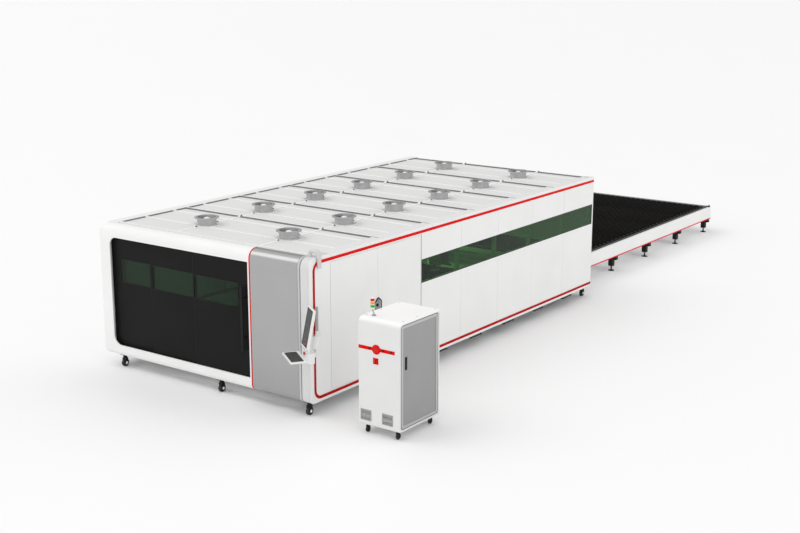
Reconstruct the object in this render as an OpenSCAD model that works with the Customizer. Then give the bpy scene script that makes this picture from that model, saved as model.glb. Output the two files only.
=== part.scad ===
// Enclosed sheet-metal cutting machine with a shuttle table and a control cabinet.
// Millimetres. +X is the machine's right side, +Y runs from the front to the back, +Z is up.
// The origin is on the floor under the middle of the bed.

/* [Enclosure] */
// Room between the table's edge and the enclosure's side wall
side_room = 500; // [480:5:700]
// Room in the enclosure beyond the length of a pallet
end_room = 1730; // [1700:10:2000]
// Height of the enclosure's roof border above the floor
enc_h = 2400; // [2300:10:2700]
// Height of the enclosure's bottom edge above the floor
skirt_z = 215; // [200:5:235]
// Thickness of the folded sheet-metal panels with their stiffening
skin_t = 20; // [16:1:24]
// Radius of the rounded top front edge
top_r = 150; // [100:5:165]
// Radius of the rounded bottom front edge
bottom_r = 90; // [60:5:100]
// Depth of the front panels where they return over the roof
front_d = 190; // [180:5:230]
// Square tube of the frame
tube = 60; // [50:2:70]

/* [Front door] */
// Distance from the enclosure's left edge to the door opening
door_left = 220; // [180:5:300]
// Distance from the door opening to the enclosure's right edge
door_right = 1180; // [1160:5:1300]
// Lower edge of the door opening above the floor
door_z0 = 404; // [395:1:440]
// Distance from the roof border down to the door opening
door_drop = 200; // [190:5:300]
// Thickness of a door leaf
leaf_t = 22; // [18:1:24]
// How far a leaf reaches behind the opening's edge
leaf_lap = 40; // [30:1:50]
// Share of the opening's width that lies left of the middle leaf
leaf_mid_share = 0.2933; // [0.28:0.0001:0.31]
// Share of the opening's width that lies left of the right leaf
leaf_right_share = 0.6130; // [0.60:0.0001:0.63]
// Distance from the roof border down to the door windows
pane_drop = 558; // [520:2:620]
// Height of the door windows
pane_h = 380; // [300:5:420]
// Length of the pull handle
handle_l = 1012; // [800:4:1200]

/* [Side and roof] */
// Distance from the front face to the first side seam
seam_first = 490; // [470:5:520]
// Width of each access door in the right side
access_w = 1142; // [1000:2:1180]
// Distance from the roof border down to the side window
side_pane_drop = 535; // [500:1:560]
// Height of the side window
side_pane_h = 388; // [340:2:400]
// Width of the red stripe
stripe_w = 46; // [36:1:56]
// Spacing of the roof modules
roof_pitch = 1353; // [1300:1:1380]
// Outer radius of an exhaust collar's neck
collar_r = 155; // [130:1:170]
// Height of an exhaust collar
collar_h = 132; // [100:2:160]

/* [Bed and gantry] */
// Width of one bed side beam
bed_beam_w = 240; // [200:5:260]
// Height of the bed's top face above the floor
bed_top = 820; // [800:5:860]
// Centre of the parked gantry
gantry_y = 1535; // [1000:5:1800]
// Height of the gantry beam
gantry_h = 250; // [220:5:300]
// Place of the carriage across the bed, from the centre line
carriage_x = 585; // [-900:5:900]

/* [Shuttle table] */
// Length of the table behind the enclosure beyond the length of a pallet
table_room = 240; // [200:10:400]
// Outer half-width of the table
table_w2 = 1695; // [1680:1:1720]
// Top of the table's side beams above the floor
table_top = 622; // [610:1:640]
// Height of the table's side beams
table_h = 286; // [240:2:300]
// Length of one pallet
pallet_l = 6900; // [6600:10:7200]
// Height of the upper track above the floor
track_upper = 540; // [538:1:545]
// Height of the lower track above the floor
track_lower = 375; // [365:1:380]
// Spacing of the pallet's slats
slat_pitch = 185; // [150:1:240]
// Height of a slat
slat_h = 82; // [70:1:90]

/* [Console] */
// Distance of the console's mast from the side wall
mast_off = 50; // [45:1:70]
// Turn of the console towards the operator, in degrees
console_turn = 36; // [20:1:45]
// Width of the monitor
monitor_w = 325; // [280:1:380]
// Height of the monitor
monitor_h = 580; // [500:2:640]
// Backward lean of the monitor, in degrees
monitor_lean = 11; // [5:1:15]
// Width of the keyboard tray
tray_w = 520; // [440:5:560]

/* [Cabinet] */
// Width of the control cabinet
cab_w = 712; // [650:2:780]
// Depth of the control cabinet
cab_d = 969; // [900:1:1040]
// Height of the control cabinet's top above the floor
cab_top = 1712; // [1650:2:1800]
// Height of the cabinet's underside above the floor
cab_z0 = 134; // [128:1:150]
// Gap between the enclosure and the cabinet
cab_gap = 883; // [860:1:1000]
// Radius of a cabinet caster's wheel
wheel_r = 45; // [38:1:48]

/* [Hidden] */
$fn = 64;

white = "#ececec";
grey = "#a6a6a6";
red = "#d8100c";
black = "#1a1a1a";
steel = "#b4b6b8";
green_glass = "#2d4a30";

// Running clearance between pieces that move against each other
clear = 0.3;
// Visible gap round doors and between panels
panel_gap = 4;
// A cut reaches this far past the face that it opens
past = 5;

enc_x = table_w2 + side_room;
enc_l = pallet_l + end_room;
front_y = -enc_l / 2;
rear_y = enc_l / 2;
roof_t = 20;
roof_z = enc_h - skin_t;
frame_top = roof_z - roof_t;
skirt_in = skirt_z + skin_t;
bed_y1 = rear_y - 165;

// Box between its low corner and its high corner
module span(lo, hi) {
    translate(lo) cube(hi - lo);
}

// Flat shape drawn in Y and Z, swept along X
module along_x(x0, x1) {
    translate([x0, 0, 0]) rotate([90, 0, 90]) linear_extrude(x1 - x0) children();
}

// Flat shape drawn in X and Z, swept along Y
module along_y(y0, y1) {
    translate([0, y1, 0]) rotate([90, 0, 0]) linear_extrude(y1 - y0) children();
}

// What a round of radius r takes off a square corner that points along -x and -y
module corner_cut(r) {
    difference() {
        translate([-past, -past]) square(r + past);
        translate([r, r]) circle(r);
    }
}

// Rectangle with its own radius on each corner: low left, low right, high right, high left
module round_rect(lo, hi, r = [0, 0, 0, 0]) {
    difference() {
        translate(lo) square(hi - lo);
        if (r[0] > 0) translate(lo) corner_cut(r[0]);
        if (r[1] > 0) translate([hi[0], lo[1]]) mirror([1, 0]) corner_cut(r[1]);
        if (r[2] > 0) translate(hi) rotate(180) corner_cut(r[2]);
        if (r[3] > 0) translate([lo[0], hi[1]]) mirror([0, 1]) corner_cut(r[3]);
    }
}

// Section of the front panels: a channel with a large round above and below
module front_section(depth) {
    difference() {
        round_rect([front_y, skirt_z], [front_y + depth, enc_h], [bottom_r, 0, 0, top_r]);
        round_rect([front_y + skin_t, skirt_in], [front_y + depth + past, roof_z],
                   [bottom_r - skin_t, 0, 0, top_r - skin_t]);
    }
}

// Front of the enclosure: door opening, red line, grey column and corner post from left to right
door_x0 = -enc_x + door_left;
door_x1 = enc_x - door_right;
door_z1 = enc_h - door_drop;
line_gap = 11;
line_w = 38;
line_x0 = door_x1 + line_gap;
line_x1 = line_x0 + line_w;
column_edge = 215;
strip_edge = 175;
post_edge = 157;
column_x1 = enc_x - column_edge;
strip_x1 = enc_x - strip_edge;
post_x0 = enc_x - post_edge;
door_corner_top = 65;
door_corner_low = 110;
face_corner = 100;

module front_fascia() {
    color(white) {
        difference() {
            intersection() {
                union() {
                    along_x(-enc_x, line_x0) front_section(front_d);
                    along_x(-enc_x, -enc_x + skin_t)
                        round_rect([front_y, skirt_z], [front_y + front_d, enc_h],
                                   [bottom_r, 0, 0, top_r]);
                }
                along_y(front_y - past, front_y + front_d + past)
                    round_rect([-enc_x, skirt_z], [line_x0, enc_h],
                               [face_corner, 0, 0, face_corner]);
            }
            along_y(front_y - past, front_y + skin_t + past)
                round_rect([door_x0, door_z0], [door_x1, door_z1],
                           [door_corner_low, 0, 0, door_corner_top]);
        }
        along_x(column_x1 + panel_gap, strip_x1) front_section(front_d);
    }
}

module front_column() {
    color(grey)
        along_x(line_x1, column_x1) front_section(front_d);
}

module corner_post() {
    post_edge_r = 36;
    color(white)
        difference() {
            intersection() {
                along_x(post_x0, enc_x)
                    round_rect([front_y, skirt_z], [front_y + seam_first - panel_gap, enc_h],
                               [bottom_r, 0, 0, top_r]);
                translate([0, 0, skirt_z - past])
                    linear_extrude(enc_h)
                        round_rect([post_x0, front_y], [enc_x, front_y + seam_first],
                                   [0, post_edge_r, 0, 0]);
            }
            along_x(post_x0 - past, enc_x - skin_t)
                round_rect([front_y + skin_t, skirt_in], [front_y + seam_first + past, roof_z],
                           [bottom_r - skin_t, 0, 0, top_r - skin_t]);
        }
}

// Red lines: one down the front, a loop on the right side, one along each table beam
stripe_t = 3;
loop_y0 = front_y + 87;
loop_z0 = 259;
loop_z1 = enc_h - 55;
loop_r = 150;
table_y0 = bed_y1;
table_y1 = rear_y + pallet_l + table_room;
table_z0 = table_top - table_h;
table_wall = 90;
table_in = table_w2 - table_wall;
table_line_h = 24;

module front_line() {
    along_x(line_x0, line_x1)
        difference() {
            round_rect([front_y - stripe_t, skirt_z - stripe_t], [front_y + front_d, enc_h + stripe_t],
                       [bottom_r + stripe_t, 0, 0, top_r + stripe_t]);
            round_rect([front_y + skin_t, skirt_in], [front_y + front_d + past, roof_z],
                       [bottom_r - skin_t, 0, 0, top_r - skin_t]);
        }
}

module side_loop() {
    along_x(enc_x, enc_x + stripe_t)
        difference() {
            round_rect([loop_y0, loop_z0], [rear_y, loop_z1], [loop_r, 0, 0, loop_r]);
            round_rect([loop_y0 + stripe_w, loop_z0 + stripe_w], [rear_y + past, loop_z1 - stripe_w],
                       [loop_r - stripe_w, 0, 0, loop_r - stripe_w]);
        }
}

module table_line() {
    span([table_w2, table_y0, table_z0], [table_w2 + stripe_t, table_y1, table_z0 + table_line_h]);
}

module red_trim() {
    color(red) {
        front_line();
        side_loop();
        table_line();
        mirror([1, 0, 0]) table_line();
    }
}

// Side walls: panels with a border over the roof and a return under the frame
border_w = 185;
return_w = 80;
wall_y0 = front_y + seam_first;
access_y0 = wall_y0 + panel_gap;
access_y1 = access_y0 + access_w;
access_y2 = access_y1 + panel_gap;
access_y3 = access_y2 + access_w;
access_z0 = 330;
access_z1 = enc_h - 130;
access_t = 40;
side_pane_y0 = access_y3 + 20;
side_pane_y1 = rear_y - 40;
side_pane_z0 = enc_h - side_pane_drop - side_pane_h;
side_module = 1172;
groove = 6;
// Pivot pins of the access doors, set in from the door's outer face and from its edge
pin_r = 6;
pin_l = 16;
pin_in = 10;
pin_edge = 16;

// One plain side wall on the right, its outer face at enc_x
module side_panel(y0) {
    span([enc_x - skin_t, y0, skirt_z], [enc_x, rear_y, enc_h]);
    span([enc_x - border_w, y0, roof_z], [enc_x, rear_y, enc_h]);
    span([enc_x - return_w, y0, skirt_z], [enc_x, rear_y, skirt_in]);
}

// Upright seams between the side panels
module side_seams(y0) {
    for (y = [y0 : side_module : rear_y - side_module / 2])
        span([enc_x - groove, y - groove / 2, loop_z0 + stripe_w],
             [enc_x + past, y + groove / 2, loop_z1 - stripe_w]);
}

module right_wall() {
    color(white)
        difference() {
            side_panel(wall_y0);
            span([enc_x - skin_t - past, access_y0 - panel_gap - past, access_z0 - panel_gap],
                 [enc_x + past, access_y3 + panel_gap, access_z1 + panel_gap]);
            span([enc_x - skin_t - past, side_pane_y0, side_pane_z0],
                 [enc_x + past, side_pane_y1, side_pane_z0 + side_pane_h]);
            side_seams(access_y3 + side_module + panel_gap);
            translate([enc_x - pin_in, access_y3 - pin_edge, access_z0 - panel_gap - pin_l])
                cylinder(r = pin_r + clear, h = access_z1 - access_z0 + 2 * panel_gap + 2 * pin_l);
            translate([enc_x - pin_in, access_y0 + pin_edge, access_z0 - panel_gap - pin_l])
                cylinder(r = pin_r + clear, h = access_z1 - access_z0 + 2 * panel_gap + 2 * pin_l);
        }
}

module left_wall() {
    color(white)
        mirror([1, 0, 0])
            difference() {
                side_panel(front_y + front_d + panel_gap);
                side_seams(wall_y0 + panel_gap);
            }
}

module right_window() {
    color(green_glass)
        span([enc_x - 14, side_pane_y0 + clear, side_pane_z0 + clear],
             [enc_x - 4, side_pane_y1 - clear, side_pane_z0 + side_pane_h - clear]);
}

gate_room = 105;
gate_w2 = table_w2 + gate_room;
gate_z1 = 1010;

module rear_wall() {
    x2 = enc_x - skin_t - clear;
    color(white)
        difference() {
            union() {
                span([-x2, rear_y - skin_t, skirt_in + clear], [x2, rear_y, frame_top]);
                span([-gate_w2 - tube, rear_y - tube, gate_z1], [gate_w2 + tube, rear_y, gate_z1 + tube]);
            }
            span([-gate_w2, rear_y - tube - past, skirt_z - past], [gate_w2, rear_y + past, gate_z1]);
        }
}

// Roof: module plates with standing seams, swages, bars through the collars and a border all round
roof_y0 = front_y + top_r;
first_lip_y = front_y + front_d + 70;
roof_first = 1745;
roof_seam_first = front_y + roof_first;
roof_modules = floor((rear_y - roof_seam_first) / roof_pitch);
seam_w = 26;
seam_h = 26;
swage_w = 60;
swage_h = 7;
swage_offsets = [435, 1073];
collar_x = [-750, 985];
collar_first = 985;
collar_last = 840;
collar_rows = 6;
collar_y0 = front_y + collar_first;
collar_pitch = (enc_l - collar_first - collar_last) / (collar_rows - 1);
collar_flange_r = 192;
collar_flange_t = 8;
collar_rim_r = 199;
collar_rim_t = 14;
collar_wall = 5;
roof_bar_w = 46;
roof_bar_h = 9;
roof_x = enc_x - skin_t - panel_gap;
field_x = enc_x - border_w - panel_gap;

// Standing seams, swages and bars on top of the roof
module roof_ribs() {
    span([-field_x, first_lip_y, roof_z - 1], [field_x, first_lip_y + seam_w, roof_z + seam_h]);
    for (i = [-1 : roof_modules]) {
        y = roof_seam_first + i * roof_pitch;
        if (i >= 0 && y < rear_y - seam_w)
            span([-field_x, y, roof_z - 1], [field_x, y + seam_w, roof_z + seam_h]);
        for (dy = swage_offsets)
            if (y + dy + swage_w < rear_y)
                span([-field_x, y + dy, roof_z - 1], [field_x, y + dy + swage_w, roof_z + swage_h]);
    }
    for (x = collar_x)
        span([x - roof_bar_w / 2, first_lip_y, roof_z - 1],
             [x + roof_bar_w / 2, rear_y, roof_z + roof_bar_h]);
}

module roof_panel() {
    color(white) {
        span([-roof_x, roof_y0, frame_top], [roof_x, rear_y, roof_z]);
        difference() {
            roof_ribs();
            for (x = collar_x, i = [0 : collar_rows - 1])
                translate([x, collar_y0 + i * collar_pitch, roof_z])
                    cylinder(r = collar_flange_r + clear, h = seam_h + past);
        }
    }
}

// One flanged collar with a plate across its throat
module collar() {
    throat = 30;
    rotate_extrude()
        polygon([
            [0, throat], [collar_r - collar_wall, throat], [collar_r - collar_wall, collar_h],
            [collar_rim_r, collar_h], [collar_rim_r, collar_h - collar_rim_t],
            [collar_r, collar_h - collar_rim_t], [collar_r, collar_flange_t],
            [collar_flange_r, collar_flange_t], [collar_flange_r, 0],
            [collar_r - collar_wall, 0], [collar_r - collar_wall, throat - collar_wall],
            [0, throat - collar_wall]
        ]);
}

module exhaust_collars() {
    color(steel)
        for (x = collar_x, i = [0 : collar_rows - 1])
            translate([x, collar_y0 + i * collar_pitch, roof_z]) collar();
}

// Frame of square tube behind the panels
tube_x = enc_x - skin_t - access_t - tube / 2;
front_tube_y = front_y + 142;
header_h = 40;
sill_z = door_z0 - leaf_lap;
header_z = door_z1 + leaf_lap;
// The header stays behind the inside of the rounded top front edge
header_rise = max(0, header_z + header_h - (enc_h - top_r));
header_y = front_y + top_r - sqrt(pow(top_r - skin_t, 2) - pow(header_rise, 2)) + clear;
rear_tube_y = rear_y - skin_t - tube / 2 - 20;
side_posts = [access_y0 - tube, side_pane_y0 - 8, rear_tube_y];
rail_low_z = side_pane_z0 - tube / 2 - 20;
rail_high_z = side_pane_z0 + side_pane_h + tube / 2 + 20;
cross_tubes = 7;

// Tube from a to b along one axis, centred on its line
module tube_between(a, b) {
    half = [tube / 2, tube / 2, tube / 2];
    span(a - half, b + half);
}

module side_frame() {
    y1 = rear_tube_y;
    low = skirt_in + tube / 2;
    high = frame_top - tube / 2;
    tube_between([tube_x, front_tube_y, low], [tube_x, y1, low]);
    tube_between([tube_x, front_tube_y, high], [tube_x, y1, high]);
    for (y = side_posts)
        tube_between([tube_x, y, low], [tube_x, y, high]);
    tube_between([tube_x, side_posts[1], rail_low_z], [tube_x, y1, rail_low_z]);
    tube_between([tube_x, side_posts[1], rail_high_z], [tube_x, y1, rail_high_z]);
    for (y = [access_y3 + side_module : side_module : rear_y - side_module / 2])
        tube_between([tube_x, y, low], [tube_x, y, high]);
    for (i = [0 : bed_rows - 1]) {
        y = (i - (bed_rows - 1) / 2) * bed_row_pitch;
        tube_between([bed_out + tube / 2, y, low], [tube_x, y, low]);
    }
}

module skeleton() {
    low = skirt_in + tube / 2;
    high = frame_top - tube / 2;
    pitch = (rear_tube_y - front_tube_y) / (cross_tubes - 1);
    color(white) {
        side_frame();
        mirror([1, 0, 0]) side_frame();
        for (i = [0 : cross_tubes - 1]) {
            y = front_tube_y + i * pitch;
            tube_between([-tube_x, y, high], [tube_x, y, high]);
        }
        for (y = [front_tube_y, rear_tube_y])
            tube_between([-tube_x, y, low], [tube_x, y, low]);
        for (x = [-tube_x, (line_x0 + line_x1) / 2 + tube / 2, tube_x])
            tube_between([x, front_tube_y, low], [x, front_tube_y, high]);
        span([-tube_x, header_y, header_z], [tube_x, front_tube_y, header_z + header_h]);
        span([-tube_x, front_y + skin_t + clear, sill_z - header_h], [tube_x, front_tube_y, sill_z]);
    }
}

// Front door: three leaves, each in its own plane behind the opening
leaf_step = leaf_t + 4;
leaf_right_y = front_y + skin_t + panel_gap;
leaf_mid_y = leaf_right_y + leaf_step;
leaf_left_y = leaf_mid_y + leaf_step;
leaf_left_x = door_x0 - leaf_lap;
leaf_mid_x = door_x0 + leaf_mid_share * (door_x1 - door_x0);
leaf_right_x = door_x0 + leaf_right_share * (door_x1 - door_x0);
leaf_over = 38;
pane_t = 10;
pane_z0 = enc_h - pane_drop - pane_h;
pane_left = [door_x0 + 160, leaf_mid_x - 42];
pane_mid = [leaf_mid_x + 31, leaf_right_x + 22];
pane_right = [leaf_right_x + 12, door_x1 - 226];

module leaf(x0, x1, y, pane) {
    color("#262626")
        difference() {
            span([x0, y, sill_z + clear], [x1, y + leaf_t, header_z - clear]);
            span([pane[0], y - past, pane_z0], [pane[1], y + leaf_t + past, pane_z0 + pane_h]);
        }
}

module pane(y, x) {
    inset = (leaf_t - pane_t) / 2;
    color(green_glass)
        span([x[0] + clear, y + inset, pane_z0 + clear],
             [x[1] - clear, y + inset + pane_t, pane_z0 + pane_h - clear]);
}

module door_leaf_left() {
    leaf(leaf_left_x, leaf_mid_x + leaf_over, leaf_left_y, pane_left);
}

module door_window_left() {
    pane(leaf_left_y, pane_left);
}

module door_leaf_mid() {
    leaf(leaf_mid_x, leaf_right_x + leaf_over, leaf_mid_y, pane_mid);
}

module door_window_mid() {
    pane(leaf_mid_y, pane_mid);
}

module door_leaf_right() {
    leaf(leaf_right_x, door_x1 + 15, leaf_right_y, pane_right);
}

module door_window_right() {
    pane(leaf_right_y, pane_right);
}

handle_edge = 107;
handle_x = door_x1 - handle_edge;
handle_z0 = 811;
handle_w = 46;
handle_t = 28;
handle_out = 44;
standoff_r = 12;
standoff_z = [211, 832];

module door_handle() {
    y = front_y - handle_out;
    color(black) {
        translate([handle_x, 0, handle_z0])
            linear_extrude(handle_l)
                round_rect([-handle_w / 2, y], [handle_w / 2, y + handle_t], [8, 8, 8, 8]);
        for (z = standoff_z)
            translate([handle_x, y + handle_t, handle_z0 + z])
                rotate([-90, 0, 0]) cylinder(r = standoff_r, h = leaf_right_y - y - handle_t);
    }
}

// Access doors in the right side: each turns on a pin above and below, at its outer edge
access_flange = 26;
plate_t = 12;
latch_z0 = 1300;
latch_side_h = 128;
latch_h = 190;
latch_half = 80;
latch_in = 2;
knob_r = 24;
knob_t = 20;
knob_y = access_y1 - 36;
knob_z = latch_z0 + 82;

module access_door(y0, y1, pin_y) {
    pin_z = access_z0 - panel_gap - pin_l + clear;
    difference() {
        span([enc_x - access_t, y0, access_z0], [enc_x, y1, access_z1]);
        span([enc_x - access_t - past, y0 + access_flange, access_z0 + access_flange],
             [enc_x - skin_t / 2, y1 - access_flange, access_z1 - access_flange]);
    }
    translate([enc_x - pin_in, pin_y, pin_z]) cylinder(r = pin_r, h = access_z0 - pin_z + past);
    translate([enc_x - pin_in, pin_y, access_z1 - past])
        cylinder(r = pin_r, h = access_z0 - pin_z + past);
}

// Half of the lock plate, with a sloped top that rises to the seam between the doors
module latch_plate(y_seam, y_out) {
    along_x(enc_x - 1, enc_x + plate_t)
        polygon([
            [y_out, latch_z0], [y_seam, latch_z0], [y_seam, latch_z0 + latch_h],
            [y_out, latch_z0 + latch_side_h]
        ]);
}

module side_door_front() {
    color(white)
        difference() {
            union() {
                access_door(access_y0, access_y1, access_y0 + pin_edge);
                latch_plate(access_y1 - latch_in, access_y1 - latch_in - latch_half);
            }
            translate([enc_x - 30, knob_y, knob_z])
                rotate([0, 90, 0]) cylinder(r = 8 + clear, h = 30 + plate_t + past);
        }
}

module side_door_rear() {
    color(white) {
        access_door(access_y2, access_y3, access_y3 - pin_edge);
        latch_plate(access_y2 + latch_in, access_y2 + latch_in + latch_half);
    }
}

// Round lock knob on a spindle through the front access door, with its grip across
module side_latch() {
    color(black)
        translate([enc_x + plate_t + clear, knob_y, knob_z])
            rotate([0, 90, 0]) {
                cylinder(r = knob_r, h = 8);
                translate([-knob_r + 3, -5, 8]) cube([2 * knob_r - 6, 10, knob_t - 8]);
                translate([0, 0, -plate_t - 20]) cylinder(r = 8, h = plate_t + 21);
            }
}

// Casters under the frame, and black pads under the side walls
base_caster_x = [-enc_x + 295, 280, enc_x - 145];
base_caster_y = [front_tube_y, rear_tube_y];
base_wheel_r = 62;
base_wheel_w = 44;
base_cheek = 8;
base_axle_r = 9;
base_plate = 120;
base_plate_t = 12;
base_fork_r = 34;
base_play = 3;
base_bridge_gap = 8;
base_bridge_t = 16;
pad_l = 350;
pad_h = 34;
pad_w = 60;
pad_set = 4;
pad_start = 2315;
pad_end = 935;
pad_count = 6;
pad_first = front_y + pad_start;
pad_pitch = (enc_l - pad_start - pad_end) / (pad_count - 1);

module base_caster_bracket(top) {
    gap = base_wheel_w / 2 + base_play;
    bridge_z = 2 * base_wheel_r + base_bridge_gap;
    translate([-base_plate / 2, -base_plate / 2, top - base_plate_t])
        cube([base_plate, base_plate, base_plate_t]);
    translate([0, 0, bridge_z]) cylinder(r = base_fork_r, h = top - bridge_z);
    for (side = [-1, 1])
        translate([side * (gap + base_cheek / 2) - base_cheek / 2, 0, base_wheel_r]) {
            translate([0, -base_fork_r, 0])
                cube([base_cheek, 2 * base_fork_r, bridge_z + base_bridge_t - base_wheel_r]);
            rotate([0, 90, 0]) cylinder(r = base_fork_r, h = base_cheek);
        }
    translate([-gap - base_cheek, -base_fork_r, bridge_z])
        cube([2 * (gap + base_cheek), 2 * base_fork_r, base_bridge_t]);
    translate([-gap - base_cheek, 0, base_wheel_r])
        rotate([0, 90, 0]) cylinder(r = base_axle_r, h = 2 * (gap + base_cheek));
}

module base_brackets() {
    color(black) {
        for (x = base_caster_x) {
            translate([x, base_caster_y[0], 0]) base_caster_bracket(skirt_z);
            translate([x, base_caster_y[1], 0]) base_caster_bracket(skirt_in);
        }
        for (side = [-1, 1], i = [0 : pad_count - 1])
            translate([side * (enc_x - pad_w / 2 - pad_set), pad_first + i * pad_pitch, skirt_z - pad_h])
                translate([-pad_w / 2, -pad_l / 2, 0]) cube([pad_w, pad_l, pad_h]);
    }
}

module base_wheels() {
    color("#e4e4e2")
        for (x = base_caster_x, y = base_caster_y)
            translate([x - base_wheel_w / 2, y, base_wheel_r])
                rotate([0, 90, 0])
                    difference() {
                        cylinder(r = base_wheel_r, h = base_wheel_w);
                        translate([0, 0, -past])
                            cylinder(r = base_axle_r + clear, h = base_wheel_w + 2 * past);
                    }
}

// Bed: two side beams on cross members
bed_y0 = -bed_y1 + 150;
bed_z0 = 130;
bed_step = 15;
bed_in = table_in + bed_step;
bed_out = bed_in + bed_beam_w;
bed_rows = 5;
bed_end = 400;
bed_row_pitch = 2 * (-bed_y0 - bed_end) / (bed_rows - 1);
cross_w = 140;
cross_h = 150;
hatch_w = 900;
hatch_z = [bed_z0 + 200, bed_top - 150];
hatch_depth = 60;

module bed_beam() {
    difference() {
        span([bed_in, bed_y0, bed_z0], [bed_out, bed_y1, bed_top]);
        for (i = [0 : bed_rows - 2]) {
            y = (i - (bed_rows - 2) / 2) * bed_row_pitch;
            span([bed_out - hatch_depth, y - hatch_w / 2, hatch_z[0]],
                 [bed_out + past, y + hatch_w / 2, hatch_z[1]]);
        }
    }
}

module bed() {
    color("#c9cbcc") {
        bed_beam();
        mirror([1, 0, 0]) bed_beam();
        for (i = [0 : bed_rows - 1]) {
            y = (i - (bed_rows - 1) / 2) * bed_row_pitch;
            span([-bed_in, y - cross_w / 2, bed_z0], [bed_in, y + cross_w / 2, bed_z0 + cross_h]);
        }
    }
}

// Rails: linear rails on the bed, and two levels of pallet track through bed and table
rail_w = 44;
rail_h = 34;
rail_x = bed_in + bed_beam_w / 2;
track_t = 20;
track_w = 43;
track_in = table_in - track_w;
end_t = 60;
end_h = 150;
curb_w = 26;
curb_h = 26;

module track_side() {
    span([rail_x - rail_w / 2, bed_y0 + 20, bed_top],
         [rail_x + rail_w / 2, bed_y1 - 20, bed_top + rail_h]);
    for (z = [track_upper, track_lower]) {
        span([track_in, bed_y0, z - track_t], [bed_in, bed_y1, z]);
        span([track_in, table_y0, z - track_t], [table_in, table_y1 - end_t, z]);
    }
    table_curb();
}

// Dark angle along the table beam's inner top edge, with a stop at its back end
module table_curb() {
    span([table_in, table_y0, table_top], [table_in + curb_w, table_y1, table_top + curb_h]);
    translate([table_in + table_wall / 2 + 12, table_y1 - 40, table_top]) {
        cylinder(r = 24, h = 20);
        cylinder(r = 13, h = 54);
    }
}

module track_rails() {
    color(black) {
        track_side();
        mirror([1, 0, 0]) track_side();
    }
}

// Levelling feet under the bed and the table legs
foot_r = 64;
foot_t = 14;
stem_r = 16;
leg_rows = 5;
leg_w = 100;
leg_in = 95;
leg_x = table_w2 - leg_in - leg_w / 2;
leg_z0 = 104;
leg_first = rear_y + 560;
leg_last = table_y1 - 10 - leg_w / 2;
leg_pitch = (leg_last - leg_first) / (leg_rows - 1);

module levelling_foot(height) {
    rotate_extrude()
        polygon([
            [0, 0], [foot_r, 0], [foot_r, foot_t * 0.6], [stem_r * 1.6, foot_t * 1.5],
            [stem_r, foot_t * 1.5], [stem_r, height], [0, height]
        ]);
}

module levelling_feet() {
    color(black) {
        for (x = [-rail_x, 0, rail_x], i = [0 : bed_rows - 1])
            translate([x, (i - (bed_rows - 1) / 2) * bed_row_pitch, 0]) levelling_foot(bed_z0);
        for (x = [-leg_x, leg_x], i = [0 : leg_rows - 1])
            translate([x, leg_last - i * leg_pitch, 0]) levelling_foot(leg_z0);
    }
}

// Gantry: a box beam on two trucks, with linear rails for the carriage
truck_l = 700;
truck_w = 200;
truck_h = 230;
beam_d = 300;
beam_z0 = bed_top + rail_h + truck_h;
beam_front = gantry_y - beam_d / 2;
guide_h = 34;
guide_t = 26;
guide_z = [60, gantry_h - 60 - guide_h];

module gantry_truck() {
    difference() {
        span([rail_x - truck_w / 2, gantry_y - truck_l / 2, bed_top + rail_h - 24],
             [rail_x + truck_w / 2, gantry_y + truck_l / 2, beam_z0]);
        span([rail_x - rail_w / 2 - clear, gantry_y - truck_l / 2 - past, bed_top - past],
             [rail_x + rail_w / 2 + clear, gantry_y + truck_l / 2 + past, bed_top + rail_h + clear]);
    }
}

module gantry_beam() {
    color("#d4d6d8") {
        span([-rail_x - truck_w / 2, beam_front, beam_z0],
             [rail_x + truck_w / 2, beam_front + beam_d, beam_z0 + gantry_h]);
        gantry_truck();
        mirror([1, 0, 0]) gantry_truck();
        for (z = guide_z)
            span([-bed_in, beam_front - guide_t, beam_z0 + z], [bed_in, beam_front, beam_z0 + z + guide_h]);
    }
}

// Carriage on the beam's front face, and the cutting head on it
carriage_w = 380;
carriage_t = 70;
carriage_y1 = beam_front - clear;
carriage_y0 = beam_front - guide_t - carriage_t;
slot_w = 120;
slot_d = 20;

module carriage() {
    x0 = carriage_x - carriage_w / 2;
    x1 = carriage_x + carriage_w / 2;
    z0 = beam_z0 - 60;
    z1 = beam_z0 + gantry_h + 40;
    color("#8d9094")
        difference() {
            span([x0, carriage_y0, z0], [x1, carriage_y1, z1]);
            for (z = guide_z)
                span([x0 - past, beam_front - guide_t - clear, beam_z0 + z - clear],
                     [x1 + past, beam_front + past, beam_z0 + z + guide_h + clear]);
            span([carriage_x - slot_w / 2, carriage_y0 - past, z0 - past],
                 [carriage_x + slot_w / 2, carriage_y0 + slot_d, z1 + past]);
        }
}

// Cutting head: a tongue in the carriage's slot, body, neck, extraction hood and nozzle
head_w = 190;
head_d = 130;
head_tip_z = track_upper + 335;
head_body_z = head_tip_z + 145;
head_body_h = 360;
hood_r = 85;
hood_h = 34;
neck_r = 24;
nozzle_r = 14;

module cutting_head() {
    tongue = slot_w - 2 * clear;
    y1 = carriage_y0 - clear;
    y_mid = y1 - head_d / 2;
    color("#3a3d42") {
        span([carriage_x - tongue / 2, y1 - 1, head_body_z + 40],
             [carriage_x + tongue / 2, carriage_y0 + slot_d - clear, head_body_z + head_body_h]);
        span([carriage_x - head_w / 2, y1 - head_d, head_body_z],
             [carriage_x + head_w / 2, y1, head_body_z + head_body_h]);
        translate([carriage_x, y_mid, head_tip_z])
            rotate_extrude()
                polygon([
                    [0, 0], [4, 0], [nozzle_r, 26], [nozzle_r, 40], [hood_r, 40], [hood_r, 46],
                    [hood_r - 12, 40 + hood_h - 6], [neck_r, 40 + hood_h], [neck_r, 146], [0, 146]
                ]);
        translate([carriage_x, y_mid, head_body_z + head_body_h - 1]) cylinder(r = 26, h = 71);
    }
}

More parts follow.
